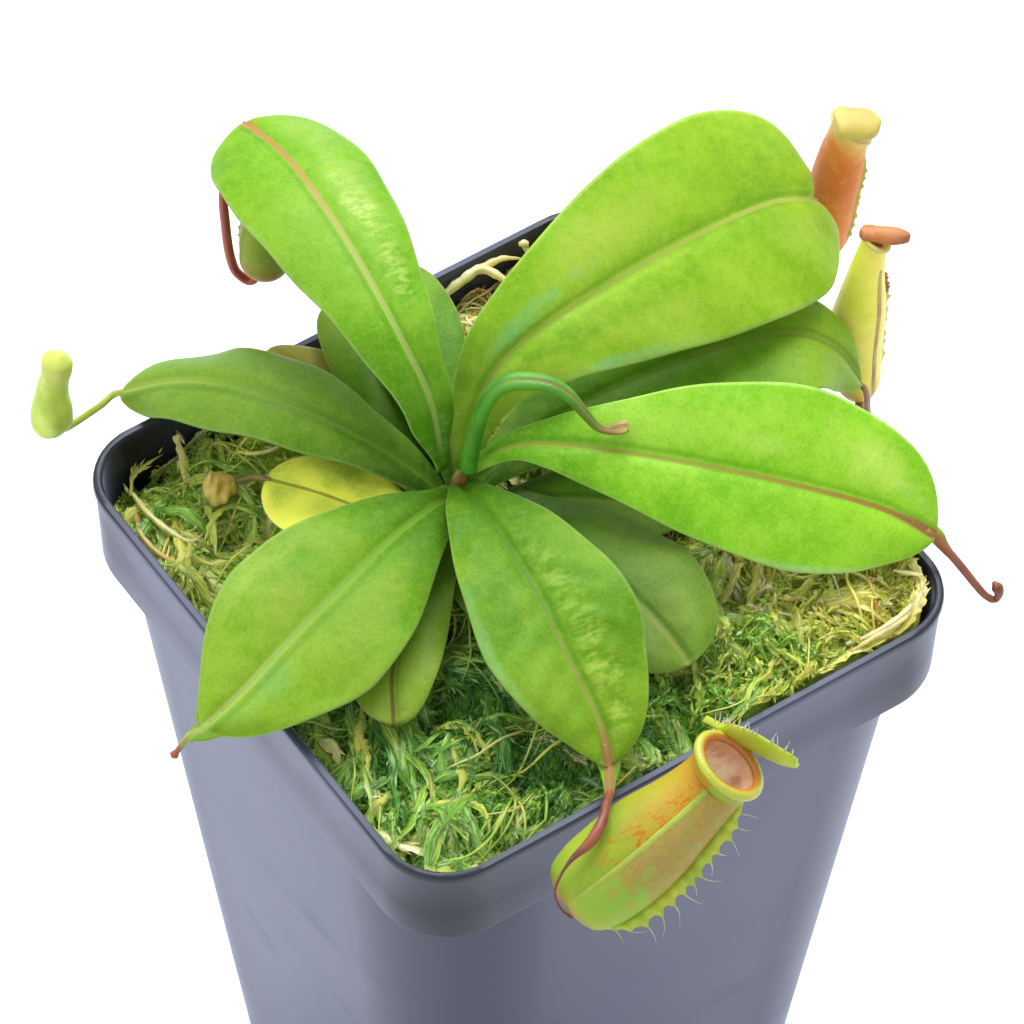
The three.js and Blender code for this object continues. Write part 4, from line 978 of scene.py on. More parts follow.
# colours of a leaf: near the stem, blade, towards the tip, soft patches, margin
leafLooks = {
    "bright": ("5a9a14", "80c41e", "9cd82c", "aed848", "cfe890"),
    "deep": ("4f8c12", "7cb81c", "9ac82a", "aacc40", "c4e088"),
    "gold": ("6a9c18", "90c622", "a6d02c", "b8d444", "d0e480"),
    "dark": ("37690f", "6a9e20", "86b030", "90b03c", "b4d07c"),
    "shade": ("355f0e", "5a8a14", "84a828", "7d9a2c", "a0b860"),
    "under": ("4f8414", "7cac26", "9cc238", "a2b850", "c8da80"),
    "yellow": ("b4cc3c", "e0e04c", "e8e456", "b8d448", "f4f4a0"),
    "old": ("8a9434", "b4b444", "c4b650", "8f8a3a", "c8c478"),
}


def leafFinish(name, leaf, length):
    stemward, blade, tipward, fresh, margin = [tint(c, 0.74 * leaf["gain"]) for c in leafLooks[leaf["look"]]]
    ribStem, ribTip, ribHalf, ribShare = leaf["rib"]
    seed = leaf["seed"]
    f = Finish(name, Subsurface_Weight=0.2, Subsurface_Scale=0.0012, Subsurface_Radius=(0.5, 1.0, 0.2),
               IOR=1.4, Specular_IOR_Level=0.14, Coat_Roughness=0.35)
    along = f.uv()[1]
    reach, edge, under = f.parts(f.lay())   # mm from the rib, share of the half blade, and 1 on the underside
    spot = f.node("Mapping", None, {"Vector": f.spot(), "Location": (seed * 0.013, seed * 0.007, 0)})
    cloud, mottle = f.grain(34, 2, 0.5, spot), f.grain(170, 4, 0.62, spot)
    crumb, fine = f.grain(620, 4, 0.65, spot), f.grain(2300, 3, 0.65, spot)
    # painted highlight: short flecks across the blade, where it shines between its veins
    run = f.node("CombineXYZ", None, {0: reach * 0.3, 1: along * (length * 0.95), 2: seed * 3.1})
    paintedGlint = f.within(f.grain(1.0, 4, 0.62, run) * 0.7 + crumb * 0.3, 0.44, 0.6)
    patch = cloud * 0.6 + mottle * 0.4
    color = f.layers(stemward, (f.within(along, 0.0, 0.42), blade),
                     (f.within(along + (cloud - 0.5) * 0.5, 0.55, 0.95, 0.8), tipward),
                     (f.within(patch, 0.46, 0.6, 0.45), fresh), (f.within(patch, 0.5, 0.38, 0.35), stemward))
    # the marks lay painted reflection and painted highlight patches as well as the leaf's own patches
    for code, s0, v0, rs, rv, share, *broken in leaf["marks"]:
        away = ((along - s0) * (1 / rs)) ** 2 + ((edge - v0) * (1 / rv)) ** 2 + (mottle - 0.5) * 3.2
        much = f.within(away, 1.3, -0.6, share) * (1 - under)
        color = f.layers(color, (much * paintedGlint if broken else much, code))
    rib = f.within(abs(reach) + (crumb - 0.5) * 0.2, ribHalf, ribHalf * 0.5) * f.within(along, 0.0, 0.1)
    # painted shade: a darker band along one side of the rib, where its groove is shaded
    paintedGrooveShade = f.within(abs(reach - ribHalf * 1.9), ribHalf * 1.3, 0.0, 0.35) * (1 - under)
    color = f.layers(color, (f.within(crumb, 0.46, 0.66, 0.22), fresh),
                     (f.within(crumb, 0.5, 0.32, 0.16), stemward),
                     (f.within(fine, 0.48, 0.66, 0.1), margin), (f.within(fine, 0.5, 0.34, 0.16), stemward),
                     (paintedGrooveShade, stemward),
                     (rib * ribShare, f.layers(ribStem, (f.within(along, 0.35, 0.95), ribTip))),
                     (f.within(abs(edge) + (crumb - 0.5) * 0.03, 0.95, 0.99, 0.35), margin),
                     (f.within(along, 0.975, 1.0, 0.4), ribTip))
    if "spur" in leaf:
        browned = f.within(along, *leaf["browned"], 0.75) * f.within(abs(reach), 0.95, 0.5)
        color = f.layers(color, (browned, "a8704c"))
    bump = mottle * 0.5 + crumb * 0.22 + fine * 0.1 - rib * 0.1
    return f.wear(f.layers(color, (under * 0.4, "9cbc58")), 0.4 + mottle * 0.14 + under * 0.1,
                  bump, 0.0005, 0.3, Coat_Weight=f.within(cloud, 0.42, 0.65, 0.06))


def leafHalf(leaf, s, turn):
    lean, neck = 1 + turn * leaf["lean"], leaf["neck"]
    grown = np.sin((np.pi / 2) * np.clip(s / leaf["widest"], 0, 1)) ** leaf["swell"]
    early = neck * (1 - leaf["root"] * smooth(s, 0.14, 0.0)) + (lean - neck) * grown
    t = np.clip((s - leaf["widest"]) / (1 - leaf["widest"]), 0, 1)
    late = lean * np.maximum(1 - t ** leaf["blunt"], 0) ** (1 / leaf["blunt"])
    return leaf["half"] * np.where(s < leaf["widest"], early, late)


def leafPath(name):
    leaf = leaves[name]
    angle, z = leaf["from"]
    a, reach = math.radians(angle), stem["rootRadius"] if z < 1 else 1.2
    start = (stem["x"] + reach * math.cos(a), stem["y"] + reach * math.sin(a), z)
    return Path(overRim(leaf.get("foot", [start]) + leaf["through"]))


def makeLeaf(name, number):
    leaf = {**usualLeaf, **leaves[name], "seed": number}
    path = leafPath(name)
    rows, columns, pillow = leafShape["big" if path.length > leafShape["bigFrom"] else "small"]
    s = 1 - (1 - np.linspace(0, 1, rows)) ** 1.5
    even = np.linspace(-1, 1, columns + 1)
    v = 0.4 * np.sin(even * np.pi / 2) + 0.6 * even
    tangent = path.along(s)
    side, normal = crossFrame(tangent, leaf["bank"] * smooth(s, 0, 0.3))
    least = leaf["tipHalf"] * np.minimum(1, 4 * s)
    left, right = [(leafHalf(leaf, s, turn) ** 4 + least ** 4)[:, None] ** 0.25 for turn in (-1, 1)]
    half = np.where(v < 0, left, right)
    row, share = s[:, None], np.abs(v)
    run, reach = path.length * row, share * half
    calm = np.minimum(1, 3 * row)
    # each half of the blade is a soft pillow with bulges between its veins
    bulge = (np.sin(2 * np.pi * (run - 0.7 * reach) / leafShape["veinPitch"] + number
                    + 1.4 * np.sin(run * 0.19 + 2.1 * v))
             + 0.8 * np.sin(run * 0.6 + number * 1.7 + 3.1 * v) * np.cos(reach * 0.55 + number))
    fade = np.sin(np.pi * share ** 0.8) * calm * np.minimum(1, half / 6)
    wave = leafShape["waveHeight"] * v ** 2 * np.sin(run * leafShape["wavePerMm"] + 2 * v) * calm
    height = (leaf["cup"] * half * share ** 1.7 + wave
              + (leaf.get("pillow", pillow) + leaf["quilt"] * bulge) * fade)
    near, far = leaf["lobes"]
    mid = spread(path.at(s), side, tangent, half * v, np.where(v < 0, near, far) * share * row ** 6)
    groove = leafShape["rib"] * np.exp(-(reach / 0.7) ** 2) * (1 - 0.75 * row)
    keel = leafShape["keel"] * np.exp(-(reach / 1.1) ** 2) * (1 - 0.7 * row)
    thick = 0.3 - 0.17 * share ** 8
    blade = Skin()
    blade.blade(mid, normal[:, None], height + thick - groove, height - thick - keel,
                v, s, np.sign(v) * reach, v)
    finish = leafFinish(name + "Finish", leaf, path.length)
    place(blade.build(name + "_blade"), name, finish)
    if "spur" in leaf:
        makeSpur(name, leaf, path, finish)
    if "tendril" in leaf:
        makeTendril(name, leaf, [path.at(1.0) - path.along(1.0) * 1.6],
                    lambda t: 1 - 0.25 * t + 0.5 * smooth(t, 0.85, 0.95) - 0.75 * smooth(t, 0.95, 1.0))


def makeSpur(name, leaf, path, finish):
    # the blade's drawn-out tip, which narrows onto the tendril
    vine = overRim((leaf.get("tendril") or pitchers["pitcher_front"]["tendril"])[0])
    tip = path.at(1.0)
    run = Path([path.at(0.94), path.at(0.97), tip + path.along(1.0) * 0.2, 0.5 * (tip + vine), vine])
    s, v = np.linspace(0, 1, 26), np.linspace(-1, 1, 13)
    half = (leaf["spur"] * (1 - s) ** 1.4 + 0.62)[:, None]
    side, normal = crossFrame(run.along(s), leaf["bank"])
    lift = 0.12 + 0.26 * (1 - np.abs(v)) ** 1.5
    spur = Skin()
    spur.blade(spread(run.at(s), side, normal, half * v, 0 * half * v), normal[:, None], lift, -lift - 0.1, v,
               0.93 + 0.06 * s, half * v, v * 0.5)
    place(spur.build(name + "_spur"), name, finish)


def makeTendril(name, shape, start, swell, sides=12, steps=60):
    # swell gives the share of its radius along it
    vine = Skin()
    vine.tube([*start, *overRim(shape["tendril"])], lambda t: shape["tendrilRadius"] * swell(t), sides, steps)
    f = Finish(name + "Tendril", Subsurface_Weight=0.15, Subsurface_Scale=0.0008,
               Coat_Weight=0.15, Coat_Roughness=0.3)
    along = f.uv()[1]
    fine = f.grain(1600, 3, 0.6)
    light, dark = shape["tendrilColors"]
    color = f.layers(light, (f.within(f.grain(160, 3, 0.55), 0.4, 0.62), dark),
                     (f.within(along, 0.1, 0.0, 0.6), "b4a45c"))
    if "tendrilTip" in shape:
        color = f.layers(color, (f.within(along, 0.66, 0.8), shape["tendrilTip"]))
    color = f.layers(color, (f.within(fine, 0.58, 0.75, 0.3), "d8b48c"))
    place(vine.build(name + "_tendril"), name,
          f.wear(color, 0.4 + fine * 0.15, fine, 0.0002, 0.4))


# section: place along, half width, half thickness
newLeaf = {
    "through": [(-3.4, 6.8, 9), (-1.8, 7.4, 15), (0.4, 7.4, 21), (2.4, 6.4, 23.8), (6.4, 3, 24.6),
        (8.4, 0.9, 23.2), (10.2, -0.9, 19.6), (11.5, -1.9, 17), (12.7, -2.8, 16.2), (15, -4.2, 17)],
    "section": [(0, 1.5, 1.3), (0.25, 1.5, 1.1), (0.5, 1.45, 0.9), (0.7, 1.2, 0.7), (0.86, 0.7, 0.6),
        (0.92, 0.6, 0.5), (0.97, 1, 0.6), (1, 0.8, 0.5)],
    "level": (0.57, 0.82, 0),
}


def makeNewLeaf():
    path = Path(overRim(newLeaf["through"]))
    s, angle = np.linspace(0, 1, 90), turns(32)
    at, *sizes = np.array(newLeaf["section"]).T
    wide, thick = [np.interp(s, at, size)[:, None] for size in sizes]
    side, normal = crossFrame(path.along(s), 0, newLeaf["level"])
    seam = 1 - 0.22 * np.exp(-((angle - 1.9) / 0.22) ** 2) - 0.12 * np.exp(-((angle - 4.6) / 0.3) ** 2)
    ragged = 1 + smooth(s, 0.93, 1.0)[:, None] * (0.3 * np.sin(5 * angle) + 0.2 * np.sin(9 * angle + 1))
    roll = Skin()
    roll.loft(spread(path.at(s), side, normal, wide * seam * np.cos(angle) * ragged,
                     thick * seam * np.sin(angle) * ragged), np.linspace(0, 1, 33), s)
    f = Finish("rolledLeaf", Subsurface_Weight=0.2, Subsurface_Scale=0.001)
    across, along = f.uv()
    fine = f.grain(1500, 3, 0.6)
    strip = f.within(abs(across - 0.3) + (fine - 0.5) * 0.05, 0.06, 0.02, 0.6) * f.within(along, 0.3, 0.7)
    color = f.layers("62b028", (f.within(f.grain(120, 3, 0.55), 0.4, 0.62), "44901c"), (strip, "a06a3c"),
                     (f.within(along, 0.62, 0.84, 0.6), "8f9a3c"),
                     (f.within(along, 0.86, 0.93, 0.9), "a8844a"),
                     (f.within(along, 0.94, 0.99, 0.8), "ccb070"))
    place(roll.build("leaf_new_roll"), "leaf_new",
          f.wear(color, 0.4 + fine * 0.15, fine, 0.0003, 0.4))


# pitchers

# what a pitcher has unless its own entry says otherwise
usualPitcher = {
    "wall": 0.55, "glow": 1, "lipCoat": 0.35, "tendrilStart": 1.5, "tendrilEnd": 1,
    "tendrilThin": (0.62, 0.95), "tendrilRadius": 0.55,
    "lid": {"root": 0.9, "offset": (0, 0, 0), "hairs": 0, "hangs": False},
}

# outline: place along and radius. Wings: degrees round from the front, where they start and end, height
pitchers = {
    "pitcher_front": {
        "leaf": "leaf_front", "slot": "pitcher_speckled",
        "axis": [(-27.6, -52.4, -4.4), (-20.7, -53.2, -0.9), (-14.2, -52.8, 1.1), (-7.7, -52.5, 3.3),
            (-3.8, -52.4, 5.4), (-2, -52.8, 8)],
        "outline": [(0, 3.2), (0.05, 5), (0.14, 6.1), (0.3, 6.6), (0.5, 6.4), (0.68, 5.4), (0.85, 4.7),
            (1, 4.5)],
        "lip": 0.8, "slant": 0.1, "front": (-0.12, -0.98, 0.13),
        "lid": {
            "reach": 14.6, "half": 2.7, "along": (0.36, -0.92, 0.08), "across": (-0.19, 0, 0.98),
            "root": 0.5, "offset": (0.9, 4, -0.6), "thick": 0.42, "hairs": 36, "hangs": True,
        },
        "wings": [
            {"turn": -50, "from": 0.1, "to": 0.93, "height": 0.06, "wide": 1, "colors": ("b4c448", "a0b83c")},
            {"turn": 38, "from": 0.09, "to": 0.92, "height": 1.5, "teeth": 13, "tooth": 0.9,
             "hair": (1.4, 2.6), "colors": ("ccdc44", "b0d03c")}],
        "tendril": [(-16.2, -45.9, 4.2), (-18.4, -48.3, 6.5), (-20.8, -50.8, 7.4), (-23.8, -52.4, 6.9),
            (-26.8, -52.8, 6.1), (-28.7, -52.9, 3.8), (-29.8, -53.2, 0.8), (-29.2, -54.1, -2.2),
            (-28.1, -54.8, -3.9)],
        "tendrilRadius": 0.64, "tendrilEnd": 0.24, "tendrilThin": (0.5, 0.72),
        "tendrilColors": ("a8563c", "7c3c30"),
        "colors": {
            "body": "a8c03c", "deep": "94b438", "neck": "d09834", "speck": "d04818", "panel": "b4a45c",
            "panelLow": "a0c84c", "foot": "b06a3c", "lip": "c8d03c", "lipInner": "d88434", "inner": "fff4dc",
            "innerSpeck": "e09a84", "lid": "ccdc3c", "lidDeep": "b8cc34",
        },
        "specks": 1, "panelHalf": 0.122, "panelAt": 0.983, "neckFrom": (0.35, 0.95), "footTo": 0.09,
    },
    "pitcher_back_left": {
        "leaf": "leaf_back_left", "slot": "pitcher_olive",
        "axis": [(-0.2, 63.6, -9), (0.4, 63.7, -5), (0.9, 63.7, -1), (2, 63.8, 6), (3, 64.4, 12)],
        "outline": [(0, 1.3), (0.07, 2.9), (0.24, 3.8), (0.5, 3.9), (0.75, 3.6), (1, 3.8)], "lip": 0.5,
        "slant": 0.6, "front": (0, 1, 0),
        "lid": {
            "reach": 7, "half": 2.8, "along": (0, 1, 0.2), "across": (-1, 0, 0), "thick": 0.25, "hairs": 8,
        },
        "wings": [{"turn": turn, "from": 0.15, "to": 0.85, "height": 0.4, "teeth": 9, "tooth": 0.4,
                   "hair": (0.6, 1.1), "colors": ("a8a84a", "8f8c3c")} for turn in (-30, 30)],
        "tendrilStart": 0.3,
        "tendril": [(-2.2, 65.2, 17.5), (-3.9, 67.2, 10), (-4, 67, 1), (-3.6, 66.5, -6), (-2.9, 66, -9),
            (-1.6, 64.8, -10.4), (-0.4, 63.8, -8.4)],
        "tendrilRadius": 0.56, "tendrilColors": ("d4683c", "b44c28"),
        "colors": {
            "body": "9cb434", "deep": "88a42c", "neck": "a8b03c", "speck": "a8602c", "panel": "a8a440",
            "panelLow": "a0a83c", "foot": "c0703c", "lip": "c8c450", "lipInner": "bc8c4c", "inner": "b0a068",
            "innerSpeck": "86683e", "lid": "acb848", "lidDeep": "98a840",
        },
        "specks": 0.3, "panelHalf": 0.08, "panelAt": 0, "neckFrom": (0.5, 0.95), "footTo": 0.3,
    },
    "pitcher_back_right": {
        "leaf": "leaf_back_right", "slot": "pitcher_orange",
        "axis": [(67.5, 23.2, -8.6), (68, 23.1, -2.6), (68.7, 22.8, 5), (69.4, 22.3, 11),
            (70.4, 21.7, 18.2)],
        "outline": [(0, 1.3), (0.07, 2.7), (0.24, 3.5), (0.5, 3.6), (0.75, 3.4), (0.9, 3), (1, 2.8)],
        "lip": 0.24, "slant": 0.55, "front": (0.986, -0.168, 0),
        "lid": {
            "reach": 6.5, "half": 2.9, "along": (0.84, -0.5, -0.16), "across": (0.5, 0.86, 0), "root": 2.8,
            "offset": (-0.4, 0.1, 0.4), "thick": 1,
        },
        "wings": [
            {"turn": -38, "from": 0.1, "to": 0.86, "height": 0.35, "teeth": 10, "tooth": 0.25,
             "hair": (0.4, 0.8), "colors": ("ccd060", "bcc454")},
            {"turn": 30, "from": 0.15, "to": 0.85, "height": 0.5, "teeth": 9, "tooth": 0.3,
             "hair": (0.4, 0.8), "colors": ("ccd060", "bcc454")}],
        "tendril": [(64, 19.6, 4), (63, 20.4, -1), (63.4, 21.6, -7), (65, 22.6, -10.4), (66.5, 22.9, -9.6),
            (67, 22.9, -7)],
        "tendrilColors": ("b4bc4c", "a87c3c"), "glow": 1.12, "lipCoat": 0.05, "tendrilStart": 0.4,
        "colors": {
            "body": "e88c48", "deep": "d87838", "neck": "f8d880", "speck": "b04a24", "panel": "d8cc68",
            "panelLow": "d8cc68", "foot": "d07a40", "lip": "f0d080", "lipInner": "f0dca0", "inner": "f0d8a0",
            "innerSpeck": "d8b078", "lid": "dccc60", "lidDeep": "d0b858",
        },
        "specks": 0.4, "panelHalf": 0.06, "panelAt": 0, "neckFrom": (0.82, 1), "footTo": 0.1,
    },
    "pitcher_right": {
        "leaf": "leaf_right_low", "slot": "pitcher_pale",
        "axis": [(62.6, 5.8, -19.4), (61.9, 6.4, -11.7), (61.6, 6.6, -5.8), (62.1, 6.2, 1.9),
            (62.5, 5.9, 8.4), (63.2, 5.5, 15)],
        "outline": [(0, 1.3), (0.06, 2.6), (0.22, 3.6), (0.42, 4), (0.62, 3.4), (0.82, 2.4), (1, 1.75)],
        "lip": 0.26, "slant": 0.5, "front": (0.82, -0.57, 0),
        "lid": {
            "reach": 7, "half": 1.6, "along": (0.8, -0.56, -0.12), "across": (0.57, 0.82, 0), "root": 1.4,
            "offset": (-0.7, 0.3, 0.1), "thick": 0.5,
        },
        "wings": [
            {"turn": -46, "from": 0.04, "to": 0.88, "height": 0.1, "wide": 0.8,
             "colors": ("dcb850", "c48c3c")},
            {"turn": 24, "from": 0.08, "to": 0.8, "height": 0.6, "teeth": 9, "tooth": 0.4,
             "hair": (0.4, 0.9), "colors": ("dce070", "c8d060")},
            {"turn": 8, "from": 0.66, "to": 0.82, "height": 0.4, "teeth": 5, "tooth": 0.3,
             "hair": (0.3, 0.6), "colors": ("b4783c", "94582c")}],
        "tendril": [(57.6, -2.2, -9.6), (58.6, -1, -14.6), (60, 1.6, -18.2), (61.4, 4.2, -19.2),
            (62.4, 5.4, -18.4), (62.7, 5.8, -16.5)],
        # glow 1.52 lifts its colours past their own: painted light for a pitcher that hangs in shade
        "tendrilColors": ("dca84c", "c07c34"), "glow": 1.52, "lipCoat": 0.05,
        "colors": {
            "body": "f4ec64", "deep": "e4e054", "neck": "e8cc64", "speck": "b8803c", "panel": "e4e478",
            "panelLow": "dcdc70", "foot": "c88440", "lip": "e8dc74", "lipInner": "d0b460", "inner": "c0a070",
            "innerSpeck": "9a6a44", "lid": "d08444", "lidDeep": "a86034",
        },
        "specks": 0.2, "panelHalf": 0.12, "panelAt": 0.96, "neckFrom": (0.8, 1), "footTo": 0.22,
    },
}


def outlineAt(outline, s):
    x, y = np.array(outline, float).T
    slope = np.gradient(y, x)
    k = np.clip(np.searchsorted(x, s, "right") - 1, 0, len(x) - 2)
    h = x[k + 1] - x[k]
    t = (s - x[k]) / h
    return ((1 + 2 * t) * (1 - t) ** 2 * y[k] + t * (1 - t) ** 2 * h * slope[k]
            + t * t * (3 - 2 * t) * y[k + 1] + t * t * (t - 1) * h * slope[k + 1])


class Cup:
    # the body of a pitcher: points on its skin by share of its length and angle from its front
    def __init__(self, shape):
        self.shape = shape
        self.path = Path(overRim(shape["axis"]))
        self.end = shape["outline"][-1][1]

    def radius(self, s):
        return np.maximum(outlineAt(self.shape["outline"], np.clip(s, 0, 1)), 0.2)

    def slant(self, s):
        return self.shape["slant"] * smooth(s, 0.55, 1)

    def ring(self, s, radius, angle):
        tangent = self.path.along(s)
        side, normal = crossFrame(tangent, 0, self.shape["front"])
        out = radius[:, None] * np.cos(angle)
        lift = tangent[:, None] * (self.slant(s)[:, None] * out)[..., None]
        return spread(self.path.at(s), side, normal, out, radius[:, None] * np.sin(angle)) - lift


def hair(skin, root, direction, length, thick, rng, curl=0.35):
    d = unit(direction)
    sway = unit(np.cross(d, rng.normal(0, 1, 3))) * curl * rng.uniform(0.2, 1.0)
    t = np.linspace(0, 1, 5)[:, None]
    side = unit(np.cross(d, up + 0.1))
    r, angle = thick * (1 - 0.8 * t), turns(3)
    rings = spread(root + length * (t * d + t ** 2 * sway), side[None], np.cross(d, side)[None],
                   r * np.cos(angle), r * np.sin(angle))
    skin.loft(rings, np.full(4, 0.5), t[:, 0])


def cupFinish(name, shape):
    # glow scales all of the cup's colours; on the pale pitcher it is painted light
    c = {key: tint(code, 0.8 * shape["glow"]) for key, code in shape["colors"].items()}
    f = Finish(name, Subsurface_Weight=0.25, Subsurface_Scale=0.0014, Subsurface_Radius=(0.9, 0.9, 0.3),
               IOR=1.3, Specular_IOR_Level=0.2, Coat_Roughness=0.25, Coat_Weight=0.04)
    around, along = f.uv()
    dash = f.grain(1.0, 4, 0.65, f.node("CombineXYZ", None, {0: around * 150, 1: along * 38, 2: 3.7}))
    big, crumb, fine = f.grain(130, 3, 0.5), f.grain(520, 4, 0.65), f.grain(1700, 3, 0.65)
    # the panel lies between the wings, and freckles beside it
    off = around - shape["panelAt"] + 0.5
    off = abs(off - off.math("FLOOR", off) - 0.5)
    half, specks = shape["panelHalf"], shape["specks"]
    panel = f.within(off, half + 0.012, half - 0.004)
    zone = (f.within(off, half + 0.16, half + 0.02) * f.within(along, 0.18, 0.36)
            * f.within(along, 0.97, 0.85) * (1 - panel))
    freckle = f.within(dash * 0.55 + crumb * 0.45, 0.505, 0.57)
    tan = f.within(along + (crumb - 0.5) * 0.35 + (big - 0.5) * 0.4, 0.22, 0.44) * f.within(along, 0.99, 0.86)
    face = f.layers(c["panelLow"], (tan, c["panel"]), (f.within(crumb, 0.46, 0.6, 0.25), c["neck"]),
                    (f.within(crumb, 0.5, 0.38, 0.35), c["panelLow"]),
                    (f.within(dash, 0.5, 0.62, 0.3) * tan, c["speck"]))
    # painted light: the inside's colour is lifted past its own, standing in for light that comes through the
    # wall
    inside = f.layers(tint(shape["colors"]["inner"], 1.25),
                      (f.within(big * 0.6 + crumb * 0.4, 0.4, 0.62, 0.6), c["innerSpeck"]),
                      (f.within(crumb * 0.5 + fine * 0.5, 0.5, 0.62, 0.25), c["speck"]),
                      (f.within(along, 1.14, 1.02, 0.7), c["lipInner"]))
    color = f.layers(c["body"], (f.within(big, 0.38, 0.64), c["deep"]),
                     (f.within(along + (big - 0.5) * 0.35, *shape["neckFrom"], 0.9), c["neck"]),
                     (zone * f.within(along, 0.2, 0.55, 0.55 * specks), c["neck"]),
                     (freckle * zone * (0.85 * specks), c["speck"]), (panel, face),
                     (f.within(along + (crumb - 0.5) * 0.06, shape["footTo"], 0.0, 0.75), c["foot"]),
                     (f.within(crumb, 0.5, 0.68, 0.2), c["lip"]), (f.within(fine, 0.56, 0.72, 0.2), c["lip"]),
                     (f.within(along, 0.94, 0.99, 0.4), c["lip"]), (f.within(along, 1.0, 1.02), inside))
    return f.wear(color, 0.36 + fine * 0.14, big * 0.4 + crumb * 0.25 + fine * 0.12, 0.0004, 0.4)


def plainFinish(name, light, dark, rough=0.42, glow=0.84):
    f = Finish(name, Subsurface_Weight=0.2, Subsurface_Scale=0.001)
    big, fine = f.grain(260, 4, 0.6), f.grain(1900, 3, 0.6)
    color = f.layers(tint(light, glow), (f.within(big, 0.36, 0.66), tint(dark, glow)),
                     (f.within(fine, 0.42, 0.28, 0.25), tint(dark, glow * 0.8)))
    return f.wear(color, rough + fine * 0.14, big * 0.5 + fine * 0.3, 0.0003, 0.4)


def makeCup(name, shape, cup):
    # outside from the foot to the mouth, then down the inside
    s = np.r_[0, 0.004, 0.012, 0.025, 0.045, np.linspace(0.07, 1, 54)]
    inner = np.array([0.985, 0.9, 0.75, 0.6, 0.45, 0.3, 0.18, 0.1])
    angle = turns(56)
    outside = cup.ring(s, cup.radius(s) * (0.25 + 0.75 * rounded(s / 0.05)), angle)
    body = Skin()
    body.loft(np.concatenate([outside, cup.ring(inner, cup.radius(inner) - shape["wall"], angle)]),
              np.linspace(0, 1, 57), np.r_[s, 2 - inner])
    place(body.build(name + "_cup"), name, cupFinish(name + "Cup", shape))


def makeLip(name, shape, cup):
    # rolled over the mouth, with fine ribs
    angle, roll = turns(300), turns(16)
    one = np.ones(1)
    middle, outer = [cup.ring(one, np.array([cup.end + more]), angle)[0] for more in (0, 1)]
    outward = unit(outer - middle)
    thick = shape["lip"] * 0.62 + 0.3
    ribs = thick * (1 + 0.03 * np.sin(angle * 75) + 0.05 * np.sin(angle * 3 + 1))[:, None]
    rings = spread(middle + outward * (thick * 0.35), outward, cup.path.along(one),
                   ribs * np.cos(roll), 0.8 * ribs * np.sin(roll))
    lip = Skin()
    lip.loft(np.concatenate([rings, rings[:1]]), np.linspace(0, 1, 17), np.linspace(0, 1, 301), None)
    f = Finish(name + "Lip", Subsurface_Weight=0.25, Subsurface_Scale=0.001, Coat_Weight=shape["lipCoat"],
               Coat_Roughness=0.15)
    fine = f.grain(900, 3, 0.6)
    light, inner = [tint(shape["colors"][key], 0.8) for key in ("lip", "lipInner")]
    color = f.layers(light, (f.within(abs(f.uv()[0] - 0.5) + (fine - 0.5) * 0.1, 0.3, 0.16), inner),
                     (f.within(fine, 0.55, 0.7, 0.3), shape["colors"]["deep"]))
    place(lip.build(name + "_lip"), name, f.wear(color, 0.3 + fine * 0.1, fine, 0.0002, 0.4))


def makeWing(name, shape, cup, wing, number, fringe, rng):
    # a fin with pointed teeth and a curved hair on each, or a low smooth ridge where it has no teeth
    steps = 220
    t, share = np.linspace(wing["from"], wing["to"], steps), np.linspace(0, 1, steps)
    at = math.radians(wing["turn"])
    fade = np.minimum(1, np.minimum(7 * share, 7 * (1 - share)))
    tangent = cup.path.along(t)
    side, normal = crossFrame(tangent, 0, shape["front"])
    out, cross = side * math.cos(at) + normal * math.sin(at), normal * math.cos(at) - side * math.sin(at)
    slide = cup.slant(t) * cup.radius(t) * math.cos(at)
    base = cup.path.at(t) - tangent * slide[:, None] + out * (cup.radius(t) - 0.3)[:, None]
    teeth = wing.get("teeth", 0)
    high = 0.3 + fade * wing["height"]
    spots = (np.arange(teeth) + 0.5 + rng.uniform(-0.22, 0.22, teeth)) / max(teeth, 1)
    for q in spots:
        peak = np.maximum(0, 1 - np.abs(share - q) * teeth / 0.36) ** 1.2
        high = high + fade * wing["tooth"] * rng.uniform(0.6, 1.1) * peak
    edge = (base + out * high[:, None]
            + cross * (0.14 * np.sin(share * 31) * fade * min(wing["height"], 1))[:, None])
    foot, top = (0.3, 0.1) if teeth else (wing["wide"], 0.22)
    fin = Skin()
    fin.loft(np.stack([base - cross * foot, edge - cross * top, edge + cross * top, base + cross * foot], 1),
             [0, 0.5, 0.5, 1, 1], share)
    place(fin.build(f"{name}_wing{number}"), name,
          plainFinish(f"{name}Wing{number}", *wing["colors"]))
    for q in spots:
        i = int(q * (steps - 1))
        lean = out[i] + cross[i] * rng.uniform(-0.2, 0.5) + tangent[i] * rng.uniform(-0.2, 0.7)
        hair(fringe, edge[i] - out[i] * 0.15, lean, rng.uniform(*wing["hair"]), 0.12, rng, 0.75)


